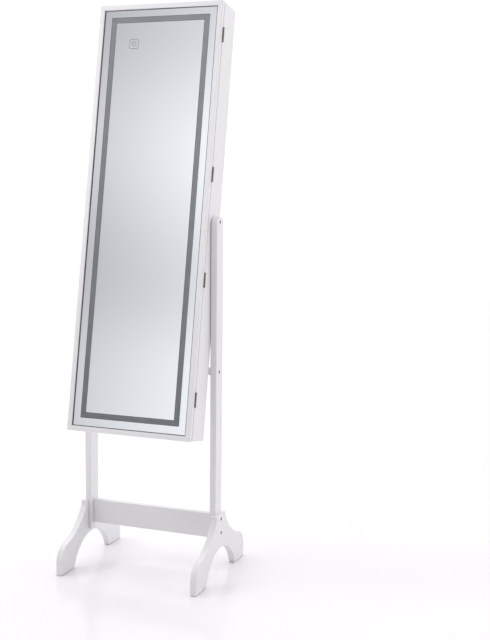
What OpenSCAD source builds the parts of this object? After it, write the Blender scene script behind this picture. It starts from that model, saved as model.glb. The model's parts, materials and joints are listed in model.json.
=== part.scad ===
// Free-standing dressing mirror that is also a shallow jewellery cabinet.
// A hinged door with a lit mirror closes a tall narrow case, which hangs on
// two pivot bolts between uprights with arched feet and leans backwards.
// The origin is on the floor, midway between the feet and under the uprights.
// +X is the viewer's right and -Y faces the viewer.

/* [Case] */
// Width of the case and of its door
case_w = 372; // [340:1:420]
// Height of the case and of its door
case_h = 1200; // [1180:1:1300]
// Depth of the side panels, without the door
carcass_d = 80; // [76:1:110]
// Thickness of the side, top and bottom panels
panel_t = 12; // [11:0.5:16]
// Thickness of the back panel
back_t = 3; // [2.5:0.5:4]
// How far the back panel reaches into each side panel
back_rebate = 8; // [7:0.5:9]
// Thickness of the felt covered lining boards
lining_t = 1.5; // [1:0.5:2]
// Rounding of the long edges of the painted boards
board_ease = 1.5; // [0.5:0.25:2]

/* [Lean and pivot] */
// Backward lean of the case at rest, in degrees
lean = 10.5; // [8:0.5:20]
// Height of the pivot axis above the floor
pivot_h = 1000; // [950:1:1060]
// Height of the pivot axis above the bottom of the case
pivot_v = 600; // [550:1:650]
// Distance of the pivot axis behind the front of the door
pivot_d = 54; // [50:1:65]
// Gap between the case and each upright
case_gap = 1.5; // [1:0.5:6]

/* [Stand] */
// Width of each upright, seen from the front
upright_w = 18; // [16:1:25]
// Depth of each upright, seen from the side
upright_d = 45; // [38:1:56]
// Height of the upright's lower end above the floor
upright_end = 92; // [90:1:98]
// Height of the upright's rounded top above the pivot axis
crown_h = 14; // [12:1:22]
// Radius of the upright's rounded top
crown_r = 27; // [26:1:60]
// Thickness of the foot boards
foot_t = 18; // [16:1:24]
// Depth of the groove in each foot that takes the upright
foot_groove = 9; // [6:0.5:11]
// Length of each foot from toe to toe
foot_len = 362; // [340:1:400]
// Height of the top of the feet above the floor
foot_top = 179; // [175:1:195]
// Width of the block at the top of each foot
foot_neck_w = 64; // [58:1:76]
// Height of the arch between the toes, above the floor
arch_top = 81; // [70:1:87]
// Radius of the arch between the toes
arch_r = 113; // [108:1:140]
// Thickness of the stretcher between the uprights
stretcher_t = 18; // [16:1:22]
// Height of the stretcher board
stretcher_h = 70; // [64:1:80]
// Height of the cross rail's axis above the floor
rail_z = 585; // [540:1:610]
// Height of the cross rail's section
rail_h = 20; // [16:1:26]
// Thickness of the cross rail's section
rail_t = 18; // [16:1:20]
// Thickness of the glides under the toes
glide_h = 1.5; // [1:0.5:4]
// Thickness of the felt pads that stop the case on the cross rail
pad_t = 2; // [1:0.5:3]

/* [Stand fittings] */
// Diameter of the furniture bolts
bolt_d = 6; // [5:0.5:7]
// Diameter of the bolt heads
head_d = 9; // [8.5:0.5:12]
// Height of the bolt heads
head_h = 3.5; // [3:0.5:4.5]
// Distance between the two bolts at each end of the stretcher
bolt_pitch = 40; // [32:1:42]
// Diameter of the barrel nuts in the stretcher
barrel_d = 10; // [9:0.5:12]
// Distance of the barrel nuts from the ends of the stretcher
barrel_in = 30; // [24:1:40]
// Outer diameter of the threaded inserts
insert_d = 9; // [8:0.5:11]

/* [Door] */
// Thickness of the door's frame members
frame_t = 13; // [12.5:0.5:16]
// Thickness of the board behind the frame
board_t = 3; // [2.5:0.5:4]
// Gap between the door and the side panels
door_gap = 2.2; // [2.2:0.1:3]
// Width of the frame around the mirror, seen from the front
frame_w = 14; // [13:0.5:18]
// Width of the lip that covers the mirror's edge
lip_w = 4; // [3:0.5:5]
// Depth of the mirror's face behind the front of the frame
lip_t = 3; // [2:0.5:3.5]
// Bevel along the inner front edge of the frame
lip_bevel = 1.2; // [0.5:0.1:1.5]
// Thickness of the mirror glass
glass_t = 4; // [3:0.5:4.5]
// Thickness of the silvering and of the frosted band behind the glass
silver_t = 0.3; // [0.2:0.1:0.5]
// Distance of the frosted band from the door's sides
band_side = 37; // [32:0.5:45]
// Distance of the frosted band from the door's top
band_top = 35; // [32:0.5:45]
// Distance of the frosted band from the door's bottom
band_bottom = 38; // [32:0.5:45]
// Width of the frosted band
band_w = 15; // [10:0.5:20]
// Width of the light strips behind the band
strip_w = 8; // [6:0.5:9]
// Distance of the touch switch from the door's left side
touch_side = 111; // [95:1:130]
// Distance of the touch switch from the door's top
touch_top = 111; // [100:1:130]
// Size of the touch switch symbol
touch_w = 28; // [20:1:32]

/* [Door hinges and catches] */
// Heights of the hinges above the bottom of the case
hinge_v = [112, 436, 724, 1109]; // [60:1:1140]
// Length of each hinge
hinge_len = 40; // [36:1:48]
// Width of each hinge leaf
leaf_w = 10; // [9:0.5:10.5]
// Thickness of each hinge leaf
leaf_t = 1; // [0.8:0.1:1]
// Diameter of the hinge barrel
hinge_barrel_d = 4; // [4:0.25:6]
// Diameter of the hinge pin
pin_d = 2; // [1.8:0.1:2.4]
// Number of knuckles in each hinge barrel
knuckles = 5; // [3:2:7]
// Heights of the magnetic catches above the bottom of the case
catch_v = [290, 910]; // [60:1:1140]

/* [Inside the case] */
// Depth of the shelves
shelf_d = 48; // [40:1:50]
// Thickness of the shelves
shelf_t = 8; // [6:0.5:10]
// Heights of the shelves' undersides above the bottom of the case
shelf_v = [190, 350, 530]; // [60:1:540]
// Height of the lips along the front of the shelves
lip_h = 28; // [20:1:40]
// Thickness of the shelf lips
shelf_lip_t = 3; // [2:0.5:4]
// Number of pegs for necklaces
pegs = 12; // [6:1:14]
// Length of each necklace peg in front of its rail
peg_len = 24; // [16:1:28]
// Height of the necklace rail above the bottom of the case
peg_v = 1110; // [1060:1:1125]
// Number of ring rolls
rolls = 8; // [4:1:9]
// Diameter of each ring roll
roll_d = 15.6; // [13:0.2:18]
// Height of the ring tray above the bottom of the case
tray_v = 580; // [570:1:620]
// Width of the ring tray
tray_w = 300; // [220:1:310]
// Heights of the earring bars on the door
earring_v = [740, 825, 910]; // [60:1:1140]
// Length of the earring bars
earring_w = 300; // [220:1:305]
// Diameter of the battery cells on the door
cell_d = 14.2; // [13.5:0.1:14.5]
// Length of the battery cells
cell_len = 50; // [44:0.5:52]

/* [Hidden] */
$fn = 48;

// Overshoot of every cutting solid
eps = 1;
// Radial clearance of pins, bolts and screws in their holes
fit = 0.05;
// Clearance between pieces that lie beside each other
play = 0.3;

// Stand, from the middle outwards
upright_x = case_w / 2 + case_gap;
upright_out = upright_x + upright_w;
foot_x = upright_out - foot_groove;
foot_out = foot_x + foot_t;
foot_mid = foot_x + foot_t / 2;
stretcher_z = foot_top - stretcher_h / 2;
stretcher_bolt_z = [stretcher_z - bolt_pitch / 2, stretcher_z + bolt_pitch / 2];
sink_d = head_h + play;
bolt_r = bolt_d / 2;
hole_r = bolt_r + fit;
bolt_past_nut = 3;
bolt_end_gap = 1;
shank_in = barrel_in + barrel_d / 2 + bolt_past_nut;
barrel_deep = 2.2;
barrel_len = stretcher_t - 2 * barrel_deep;
insert_len = 14;
rail_bolt_in = 12;
pad_x = 0.32 * case_w;
pad_r = 6;
glide_r = 7;
glide_ease = 0.5;
nail_len = 9;
nail_r = 1;

// Foot profile in the YZ plane, on tangent arcs: the toe leans in to a round
// knee, a hollow flank climbs to the neck, and a smaller hollow ends upright
toe_rake = 0.6;
knee_a = 5;
knee_r = 53;
knee_up = 33;
knee_c = [foot_len / 2 - toe_rake - knee_r, glide_h + knee_up];
flank_slope = 14;
neck_r = 22;
neck_straight = 4;
neck_c = [foot_neck_w / 2 + neck_r, foot_top - neck_straight];
flank_n = [sin(flank_slope), cos(flank_slope)];
flank_p = knee_c + knee_r * flank_n - neck_c;
flank_r = (neck_r * neck_r - flank_p * flank_p) / (2 * (flank_p * flank_n + neck_r));
flank_c = knee_c + (knee_r + flank_r) * flank_n;
neck_a = atan2(flank_c[1] - neck_c[1], flank_c[0] - neck_c[0]);
toe_w = foot_len / 2 - sqrt(arch_r * arch_r - pow(arch_r - arch_top + glide_h, 2));
toe_mid = (foot_len - toe_w) / 2;

// Case, from the front backwards, in its own axes
door_t = frame_t + board_t;
carcass_y = door_t + door_gap;
case_d = carcass_y + carcass_d;
back_y = case_d - back_t;
lining_y = back_y - lining_t;
inner_w = case_w - 2 * panel_t;
inner_h = case_h - 2 * panel_t;
dowel_r = 3;
dowel_in = 8;
dowel_out = 16;
dowel_z = [panel_t / 2, case_h - panel_t / 2];
dowel_side = 20;
dowel_y = [carcass_y + dowel_side, back_y - dowel_side];
back_screw_r = 1.5;
back_screw_head = 3;
back_screw_len = 12;
back_screw_x = inner_w / 2 + back_rebate / 2;
back_screw_end = 60;
back_screw_z = [for (i = [0:4]) back_screw_end + i * (case_h - 2 * back_screw_end) / 4];
spacer_r = 9;

// Inside the case
necklace_rail_t = 12;
necklace_rail_h = 30;
peg_r = 1.5;
peg_in = 8;
peg_rise = 15;
peg_side = 25;
tray_wall = 4;
tray_base = 2;
tray_d = 14;
tray_y = lining_y - tray_d;
roll_pitch = roll_d + 0.4;
tray_h = rolls * roll_pitch + 2 * tray_wall;
roll_len = tray_w - 2 * tray_wall - 2 * play;
shelf_front = lining_y - shelf_d;
shelf_pin_r = 2.5;
shelf_pin_in = 8;
shelf_pin_out = 9;
shelf_pin_side = 10;
shelf_pin_y = [shelf_front + shelf_pin_side, lining_y - shelf_pin_side];

// Door, from the front backwards
frame_ease = 0.8;
rebate_w = frame_w - lip_w;
silver_y = lip_t + glass_t;
cavity_y = silver_y + silver_t;
glass_edge = rebate_w + play;
board_inset = 0.5;
glass_rect = [glass_edge - case_w / 2, glass_edge, case_w / 2 - glass_edge, case_h - glass_edge];
band_rect = [band_side - case_w / 2, band_bottom, case_w / 2 - band_side, case_h - band_top];
touch_x = touch_side - case_w / 2;
touch_z = case_h - touch_top;
touch_line = 1.6;
tape_w = 10;
strip_t = 1.6;
sensor_t = 1.6;
sensor_w = touch_w + 4;
driver_w = 44;
driver_h = 24;
driver_t = 3.2;
driver_gap = 22;
driver_x = touch_x + sensor_w / 2 + driver_gap + driver_w / 2;
ribbon_w = 2.4;
ribbon_t = 0.8;
ribbon_bend = 8;
ribbon_y = frame_t - strip_t / 2;
lead_w = 1.6;
lead_hole_r = 1.2;
lead_dx = 5;
board_screw_x = case_w / 2 - rebate_w / 2;
board_screw_z = [40, 270, 580, 900, case_h - 40];
board_screw_end_z = [rebate_w / 2, case_h - rebate_w / 2];
board_screw_end_x = [-case_w * 0.3, 0, case_w * 0.3];
board_screw_len = 11;
board_screw_r = 1.2;
board_screw_head = 2.6;
door_lining_gap = 4;
door_inner_y = door_t + lining_t;

// Battery box on the door: cells lie across it, one above another
cells = 4;
cell_pitch = cell_d + 0.8;
box_wall = 1.5;
cell_room = 2;
box_w = cell_len + 2 * cell_room + 2 * box_wall;
box_h = cells * cell_pitch + 2 * box_wall;
box_d = box_wall + cell_d + play + box_wall + play;
box_x = driver_x;
box_drop = 110;
box_z = touch_z - box_drop;
box_post = 1.5;
cell_y = door_inner_y + box_wall + cell_d / 2 + play / 2;
button_len = 1;
button_r = 2.7;
contact_t = 0.4;
contact_w = 10;
dome_r = 2;
grip_w = 16;
grip_rib_w = 1.2;
grip_rib_h = 0.8;
grip_pitch = 3;

// Hinges
hinge_x = case_w / 2 + hinge_barrel_d / 2 + play;
hinge_y = door_t + door_gap / 2;
leaf_screw_x = case_w / 2 - leaf_w / 2;
leaf_screw_z = [for (v = hinge_v, dz = [-1, 1]) v + dz * hinge_len / 3.2];
leaf_screw_len = 11;
leaf_screw_r = 1.2;
leaf_screw_head = 2.2;
pin_head = 0.8;

// Catches
catch_h = 40;
catch_w = 12;
catch_d = 14;
catch_plate_t = 1;
catch_plate_w = 10;
catch_plate_in = 5;
catch_y = door_inner_y + catch_plate_t + play;

// Places a piece given in the case's own axes: X across, Y back from the
// front of the door, Z up from the bottom of the case.
module in_case() {
    translate([0, 0, pivot_h]) rotate([-lean, 0, 0]) translate([0, -pivot_d, -pivot_v]) children();
}

// Points on an arc from angle a to angle b
function arc(centre, r, a, b, n) =
    [for (i = [0:n]) centre + r * [cos(a + (b - a) * i / n), sin(a + (b - a) * i / n)]];

// Rectangle centred on the origin with true round corners
module eased_rect(w, d, r) {
    square([w - 2 * r, d], center = true);
    square([w, d - 2 * r], center = true);
    for (sx = [-1, 1], sy = [-1, 1]) translate([sx * (w / 2 - r), sy * (d / 2 - r)]) circle(r = r);
}

// Plates and rings whose face is a rectangle [x0, z0, x1, z1] at depth y
function inset(r, by) = [r[0] + by, r[1] + by, r[2] - by, r[3] - by];
function rect_at(x, z, w, h) = [x - w / 2, z - h / 2, x + w / 2, z + h / 2];
module plate(r, y, t) {
    translate([r[0], y, r[1]]) cube([r[2] - r[0], t, r[3] - r[1]]);
}
module ring(outer, inner, y, t) {
    difference() {
        plate(outer, y, t);
        plate(inner, y - eps, t + 2 * eps);
    }
}

// Round bar or hole along X, on the given side, from distance x outwards
module along_x(side, x, len, y, z, r) {
    translate([side * x, y, z]) rotate([0, side * 90, 0]) cylinder(h = len, r = r);
}

// Round bar or hole along Y, from depth y backwards
module along_y(x, y, z, len, r) {
    translate([x, y, z]) rotate([-90, 0, 0]) cylinder(h = len, r = r);
}

// Furniture bolt with a hexagon socket. Its head stands outside x on the
// given side, and its shank runs len towards the middle.
module socket_bolt(side, x, y, z, len) {
    socket_d = 0.6 * head_h;
    difference() {
        along_x(side, x, head_h, y, z, head_d / 2);
        translate([side * (x + head_h - socket_d), y, z]) rotate([0, side * 90, 0])
            cylinder(h = socket_d + eps, d = 0.55 * head_d, $fn = 6);
    }
    along_x(side, x - len, len, y, z, bolt_r);
}

// Countersunk screw along +Y, its flat head at the origin, and its hole
module sunk_screw(len, head_r, r) {
    cone_h = head_r - r;
    rotate([-90, 0, 0]) difference() {
        rotate_extrude() polygon([[0, 0], [head_r, 0], [r, cone_h], [r, len - r], [r / 3, len], [0, len]]);
        for (a = [0, 90]) rotate([0, 0, a]) cube([1.2 * head_r, 0.5 * r, cone_h], center = true);
    }
}
module sunk_hole(len, head_r, r) {
    cone_h = head_r - r;
    rotate([-90, 0, 0]) rotate_extrude() polygon([[0, -eps], [head_r + fit, -eps], [head_r + fit, 0],
        [r + fit, cone_h], [r + fit, len], [0, len]]);
}

module threaded_insert(side, x, z, len) {
    difference() {
        along_x(side, x - len, len, 0, z, insert_d / 2);
        along_x(side, x - len - eps, len + 2 * eps, 0, z, hole_r);
    }
}

// Foot board with the groove that takes the upright on its inner side
foot_half = concat(
    [[foot_len / 2, glide_h]],
    arc(knee_c, knee_r, knee_a, 90 - flank_slope, 8),
    arc(flank_c, flank_r, 270 - flank_slope, 180 + neck_a, 10),
    arc(neck_c, neck_r, 180 + neck_a, 180, 5),
    [[foot_neck_w / 2, foot_top]]);
module foot(side) {
    foot_points = concat(foot_half,
        [for (i = [len(foot_half) - 1:-1:0]) [-foot_half[i][0], foot_half[i][1]]]);
    groove_x = side > 0 ? foot_x - eps : -foot_x - foot_groove;
    color("gainsboro") difference() {
        translate([side > 0 ? foot_x : -foot_out, 0, 0]) rotate([90, 0, 90]) linear_extrude(foot_t)
            difference() {
                polygon(foot_points);
                translate([0, arch_top - arch_r]) circle(r = arch_r, $fn = 96);
            }
        translate([groove_x, -upright_d / 2, upright_end])
            cube([foot_groove + eps, upright_d, foot_top]);
        for (z = stretcher_bolt_z) {
            along_x(side, foot_x, foot_t + eps, 0, z, hole_r);
            along_x(side, foot_out - sink_d, sink_d + eps, 0, z, head_d / 2 + play);
        }
        for (sy = [-1, 1]) translate([side * foot_mid, sy * toe_mid, glide_h - eps])
            cylinder(h = nail_len + eps + fit, r = nail_r + fit);
    }
}

// Upright of eased section, cut at the top to a shallow crown
module upright(side) {
    x = side > 0 ? upright_x : -upright_out;
    top = pivot_h + crown_h;
    color("gainsboro") difference() {
        intersection() {
            translate([x + upright_w / 2, 0, upright_end]) linear_extrude(top - upright_end)
                eased_rect(upright_w, upright_d, board_ease);
            union() {
                translate([x - eps, 0, top - crown_r]) rotate([0, 90, 0])
                    cylinder(h = upright_w + 2 * eps, r = crown_r, $fn = 96);
                translate([x - eps, -upright_d, 0])
                    cube([upright_w + 2 * eps, 2 * upright_d, top - crown_r]);
            }
        }
        for (z = concat([pivot_h, rail_z], stretcher_bolt_z))
            along_x(side, upright_x - eps, upright_w + 2 * eps, 0, z, hole_r);
        for (z = [pivot_h, rail_z])
            along_x(side, upright_out - sink_d, sink_d + eps, 0, z, head_d / 2 + play);
    }
}

// Bar of eased section from one upright to the other
module crossbar(z, t, h) {
    translate([-upright_x, 0, z]) rotate([90, 0, 90]) linear_extrude(2 * upright_x)
        eased_rect(t, h, board_ease);
}

module stretcher() {
    color("gainsboro") difference() {
        crossbar(stretcher_z, stretcher_t, stretcher_h);
        for (side = [-1, 1], z = stretcher_bolt_z) {
            along_x(side, upright_x - shank_in, shank_in + eps, 0, z, hole_r);
            along_y(side * (upright_x - barrel_in), -barrel_len / 2, z, stretcher_t, barrel_d / 2 + fit);
        }
    }
}

module cross_rail() {
    color("gainsboro") difference() {
        crossbar(rail_z, rail_t, rail_h);
        for (side = [-1, 1]) along_x(side, upright_x - insert_len - play,
            insert_len + play + eps, 0, rail_z, insert_d / 2 + fit);
    }
}

module stretcher_bolts() {
    shank = foot_out - sink_d - upright_x + shank_in - bolt_end_gap;
    color("darkgray") for (side = [-1, 1], z = stretcher_bolt_z)
        socket_bolt(side, foot_out - sink_d, 0, z, shank);
}

module barrel_nuts() {
    color("silver") for (side = [-1, 1], z = stretcher_bolt_z) difference() {
        along_y(side * (upright_x - barrel_in), -barrel_len / 2, z, barrel_len, barrel_d / 2);
        along_x(side, upright_x - barrel_in - barrel_d, 2 * barrel_d, 0, z, hole_r);
    }
}

module rail_bolts() {
    color("darkgray") for (side = [-1, 1])
        socket_bolt(side, upright_out - sink_d, 0, rail_z, upright_w - sink_d + rail_bolt_in);
}

module rail_inserts() {
    color("darkgoldenrod") for (side = [-1, 1])
        threaded_insert(side, upright_x, rail_z, insert_len);
}

module rest_pads() {
    color("dimgray") for (side = [-1, 1])
        along_y(side * pad_x, -rail_t / 2 - pad_t, rail_z, pad_t, pad_r);
}

module floor_glides() {
    color("white") for (side = [-1, 1], sy = [-1, 1])
        translate([side * foot_mid, sy * toe_mid, 0]) rotate_extrude() polygon([
            [0, 0], [glide_r - glide_ease, 0], [glide_r, glide_ease], [glide_r, glide_h],
            [nail_r, glide_h], [nail_r, glide_h + nail_len - nail_r], [0, glide_h + nail_len]]);
}

// Full-height side, with the back let into a rebate along its rear edge
module side_panel(side) {
    wall_x = inner_w / 2 - eps;
    color("white") in_case() difference() {
        translate([side * (inner_w + panel_t) / 2, carcass_y + carcass_d / 2, 0])
            linear_extrude(case_h) eased_rect(panel_t, carcass_d, board_ease);
        translate([side > 0 ? wall_x : -wall_x - back_rebate - play - eps, back_y, -eps])
            cube([back_rebate + play + eps, back_t + eps, case_h + 2 * eps]);
        along_x(side, wall_x, panel_t + 2 * eps, pivot_d, pivot_v, insert_d / 2 + fit);
        for (z = dowel_z, y = dowel_y) along_x(side, wall_x, dowel_in + eps, y, z, dowel_r + fit);
        for (v = shelf_v, y = shelf_pin_y)
            along_x(side, wall_x, shelf_pin_in + eps, y, v - shelf_pin_r, shelf_pin_r + fit);
        for (z = back_screw_z)
            along_y(side * back_screw_x, case_d - back_screw_len, z, back_screw_len + eps,
                back_screw_r + fit);
        if (side > 0) for (z = leaf_screw_z)
            along_y(leaf_screw_x, carcass_y - eps, z, leaf_screw_len - leaf_t + eps, leaf_screw_r + fit);
    }
}

// Top or bottom panel between the sides
module end_panel(z) {
    color("white") in_case() difference() {
        translate([-inner_w / 2, carcass_y, z]) cube([inner_w, back_y - carcass_y, panel_t]);
        for (side = [-1, 1], y = dowel_y)
            along_x(side, inner_w / 2 - dowel_out, dowel_out + eps, y, z + panel_t / 2, dowel_r + fit);
    }
}

module case_dowels() {
    color("burlywood") in_case() for (side = [-1, 1], z = dowel_z, y = dowel_y)
        along_x(side, inner_w / 2 - dowel_out + play, dowel_in + dowel_out - 2 * play, y, z, dowel_r);
}

// Back panel, screwed to the sides
module back_screw_places() {
    for (side = [-1, 1], z = back_screw_z)
        translate([side * back_screw_x, case_d, z]) rotate([0, 0, 180]) children();
}
module back_panel() {
    color("white") in_case() difference() {
        translate([-inner_w / 2 - back_rebate, back_y, play])
            cube([inner_w + 2 * back_rebate, back_t, case_h - 2 * play]);
        back_screw_places() sunk_hole(back_screw_len, back_screw_head, back_screw_r);
    }
}
module back_screws() {
    color("darkgray") in_case() back_screw_places()
        sunk_screw(back_screw_len - play, back_screw_head, back_screw_r);
}

module back_lining() {
    edge = panel_t + play;
    color("dimgray") in_case()
        plate([edge - case_w / 2, edge, case_w / 2 - edge, case_h - edge], lining_y, lining_t);
}

// Each pivot bolt turns with the case and runs in its upright's bore
module pivot_bolts() {
    color("darkgray") for (side = [-1, 1])
        socket_bolt(side, upright_out - sink_d + play / 2, 0, pivot_h,
            upright_w - sink_d + case_gap + panel_t - bolt_end_gap);
}
module pivot_inserts() {
    color("darkgoldenrod") for (side = [-1, 1])
        threaded_insert(side, case_w / 2, pivot_h, panel_t - 2 * play);
}
module pivot_spacers() {
    color("white") for (side = [-1, 1]) difference() {
        along_x(side, case_w / 2, case_gap - play, 0, pivot_h, spacer_r);
        along_x(side, case_w / 2 - eps, case_gap + eps, 0, pivot_h, hole_r);
    }
}

// Necklace rail, and pegs that rise a little from it
module peg_places() {
    for (i = [0:pegs - 1])
        translate([(i - (pegs - 1) / 2) * (inner_w - 2 * peg_side) / (pegs - 1),
            lining_y - necklace_rail_t, peg_v]) rotate([90 - peg_rise, 0, 0]) children();
}
module necklace_rail() {
    color("white") in_case() difference() {
        translate([0, lining_y - necklace_rail_t / 2, peg_v]) rotate([0, 90, 0])
            linear_extrude(inner_w - 2 * play, center = true)
                eased_rect(necklace_rail_h, necklace_rail_t, board_ease);
        peg_places() translate([0, 0, -peg_in])
            cylinder(h = peg_in + necklace_rail_t / 2, r = peg_r + fit, $fn = 24);
    }
}
module necklace_pegs() {
    color("silver") in_case() peg_places() {
        translate([0, 0, play - peg_in]) cylinder(h = peg_len + peg_in - play, r = peg_r, $fn = 24);
        translate([0, 0, peg_len]) sphere(r = 1.7 * peg_r, $fn = 24);
    }
}

// Ring tray: a shallow frame on the back that holds a stack of felt rolls
module ring_tray() {
    outer = rect_at(0, tray_v + tray_h / 2, tray_w, tray_h);
    color("white") in_case() difference() {
        plate(outer, tray_y, tray_d);
        plate(inset(outer, tray_wall), tray_y - eps, tray_d - tray_base + eps);
    }
}

// Each ring roll is a soft bar whose ends are drawn in
module ring_rolls() {
    roll_y = lining_y - tray_base - roll_d / 2 - fit;
    end_len = roll_d / 3;
    rim = [for (k = [0:4]) [roll_d / 2 * (0.7 + 0.3 * sin(k * 22.5)), end_len * (1 - cos(k * 22.5))]];
    far_rim = [for (k = [4:-1:0]) [rim[k][0], roll_len - rim[k][1]]];
    color("dimgray") in_case() for (i = [0:rolls - 1])
        translate([-roll_len / 2, roll_y, tray_v + tray_wall + (i + 0.5) * roll_pitch])
            rotate([0, 90, 0]) rotate_extrude($fn = 32)
                polygon(concat([[0, 0]], rim, far_rim, [[0, roll_len]]));
}

// Shelves on pins, each with a clear lip along its front
module shelf(v) {
    color("white") in_case() translate([play - inner_w / 2, shelf_front, v])
        cube([inner_w - 2 * play, shelf_d, shelf_t]);
}
module shelf_pins() {
    color("silver") in_case() for (side = [-1, 1], v = shelf_v, y = shelf_pin_y)
        along_x(side, inner_w / 2 - shelf_pin_out, shelf_pin_in + shelf_pin_out - play,
            y, v - shelf_pin_r, shelf_pin_r);
}
module shelf_lips() {
    color("lightblue", 0.5) in_case() for (v = concat([panel_t], shelf_v))
        translate([play - inner_w / 2, shelf_front - shelf_lip_t, v])
            cube([inner_w - 2 * play, shelf_lip_t, lip_h]);
}

// Magnetic catches on the left side panel, and their plates on the door
module catch_magnets() {
    color("whitesmoke") in_case() for (v = catch_v)
        translate([-inner_w / 2, catch_y, v - catch_h / 2]) cube([catch_w, catch_d, catch_h]);
}
module catch_plates() {
    color("silver") in_case() for (v = catch_v)
        translate([catch_plate_in - inner_w / 2, door_inner_y, v - catch_h / 2])
            cube([catch_plate_w, catch_plate_t, catch_h]);
}

// Door frame member: a rebated section with mitred ends, its outer edge on
// the Z axis and its front in the XZ plane
module frame_member(len) {
    intersection() {
        linear_extrude(len) polygon([[frame_ease, 0], [frame_w - lip_bevel, 0],
            [frame_w, lip_bevel], [frame_w, lip_t], [rebate_w, lip_t],
            [rebate_w, frame_t], [0, frame_t], [0, frame_ease]]);
        translate([0, frame_t + eps, 0]) rotate([90, 0, 0]) linear_extrude(frame_t + 2 * eps)
            polygon([[0, 0], [frame_w, frame_w], [frame_w, len - frame_w], [0, len]]);
    }
}
module board_screw_places() {
    for (side = [-1, 1], z = board_screw_z)
        translate([side * board_screw_x, door_t, z]) rotate([0, 0, 180]) children();
    for (x = board_screw_end_x, z = board_screw_end_z)
        translate([x, door_t, z]) rotate([0, 0, 180]) children();
}
module leaf_screw_places(y, turn) {
    for (z = leaf_screw_z) translate([leaf_screw_x, y, z]) rotate([0, 0, turn]) children();
}
module door_frame_part() {
    color("white") in_case() difference() {
        children();
        board_screw_places() sunk_hole(board_screw_len, board_screw_r, board_screw_r - fit);
        leaf_screw_places(door_t, 180)
            sunk_hole(leaf_screw_len - leaf_t, leaf_screw_r, leaf_screw_r - fit);
    }
}
module door_stile_left() {
    door_frame_part() translate([-case_w / 2, 0, 0]) frame_member(case_h);
}
module door_stile_right() {
    door_frame_part() translate([case_w / 2, 0, case_h]) rotate([0, 180, 0]) frame_member(case_h);
}
module door_rail_top() {
    door_frame_part() translate([-case_w / 2, 0, case_h]) rotate([0, 90, 0]) frame_member(case_w);
}
module door_rail_bottom() {
    door_frame_part() translate([case_w / 2, 0, 0]) rotate([0, -90, 0]) frame_member(case_w);
}

// Touch symbol: a square outline round an open ring with a bar
module touch_glyph() {
    ring_r = 0.24 * touch_w;
    difference() {
        eased_rect(touch_w, touch_w, 3 * touch_line);
        eased_rect(touch_w - 2 * touch_line, touch_w - 2 * touch_line, 2 * touch_line);
    }
    difference() {
        circle(r = ring_r);
        circle(r = ring_r - touch_line);
        translate([-1.5 * touch_line, 0]) square([3 * touch_line, 2 * ring_r]);
    }
    translate([-touch_line / 2, ring_r * 0.2]) square([touch_line, ring_r]);
}
module touch_cut(y, t) {
    translate([touch_x, y + t, touch_z]) rotate([90, 0, 0]) linear_extrude(t) touch_glyph();
}

// Mirror: clear glass, and behind it one layer that is silvering inside and
// outside a frosted band
module mirror_glass() {
    color("aliceblue", 0.4) in_case() plate(glass_rect, lip_t, glass_t);
}
module mirror_silvering() {
    color("lightsteelblue") in_case() {
        ring(glass_rect, band_rect, silver_y, silver_t);
        difference() {
            plate(inset(band_rect, band_w), silver_y, silver_t);
            touch_cut(silver_y - eps, silver_t + 2 * eps);
        }
    }
}
module light_band() {
    color("gray") in_case() ring(band_rect, inset(band_rect, band_w), silver_y, silver_t);
}
module touch_symbol() {
    color("gray") in_case() touch_cut(silver_y, silver_t);
}

// Foam tape that beds the glass against the board
module glass_tape() {
    color("dimgray") in_case() ring(glass_rect, inset(glass_rect, tape_w), cavity_y, frame_t - cavity_y);
}

// Light strips on the board, behind the middle of the band
module light_strips() {
    s = inset(band_rect, (band_w - strip_w) / 2);
    y = frame_t - strip_t;
    color("khaki") in_case() {
        for (x = [s[0], s[2] - strip_w]) plate([x, s[1], x + strip_w, s[3]], y, strip_t);
        for (z = [s[1], s[3] - strip_w])
            plate([s[0] + strip_w, z, s[2] - strip_w, z + strip_w], y, strip_t);
    }
}

module touch_sensor() {
    color("green") in_case() plate(rect_at(touch_x, touch_z, sensor_w, sensor_w), cavity_y, sensor_t);
}
module light_driver() {
    color("darkgreen") in_case()
        plate(rect_at(driver_x, touch_z, driver_w, driver_h), frame_t - driver_t, driver_t);
}

// Ribbon leads in the door's cavity: to the sensor, to the light strips, and
// through the board to the battery box
module ribbon(points) {
    half_t = [0, ribbon_t / 2];
    polygon(concat([for (p = points) p - half_t],
        [for (i = [len(points) - 1:-1:0]) points[i] + half_t]));
}
module lead_places() {
    for (dx = [-lead_dx, lead_dx]) translate([box_x + dx, 0, box_z]) children();
}
module door_wiring() {
    sensor_x = touch_x + sensor_w / 2;
    sensor_y = cavity_y + sensor_t / 2;
    strip_x = band_rect[2] - (band_w + strip_w) / 2;
    driver_side = driver_x - driver_w / 2;
    lead_top = touch_z - driver_h / 2 - box_z;
    color("firebrick") in_case() {
        translate([0, 0, touch_z - ribbon_w / 2]) linear_extrude(ribbon_w) {
            ribbon([[sensor_x, sensor_y], [sensor_x + ribbon_bend, sensor_y],
                [driver_side - ribbon_bend, ribbon_y], [driver_side, ribbon_y]]);
            ribbon([[driver_x + driver_w / 2, ribbon_y], [strip_x, ribbon_y]]);
        }
        lead_places() translate([-lead_w / 2, ribbon_y - ribbon_t / 2, -ribbon_t / 2]) {
            cube([lead_w, ribbon_t, lead_top + ribbon_t / 2]);
            cube([lead_w, door_inner_y + box_wall - ribbon_y + ribbon_t / 2, ribbon_t]);
        }
    }
}
module lead_holes() {
    lead_places() along_y(0, frame_t - eps, 0, door_t, lead_hole_r);
}

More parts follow.
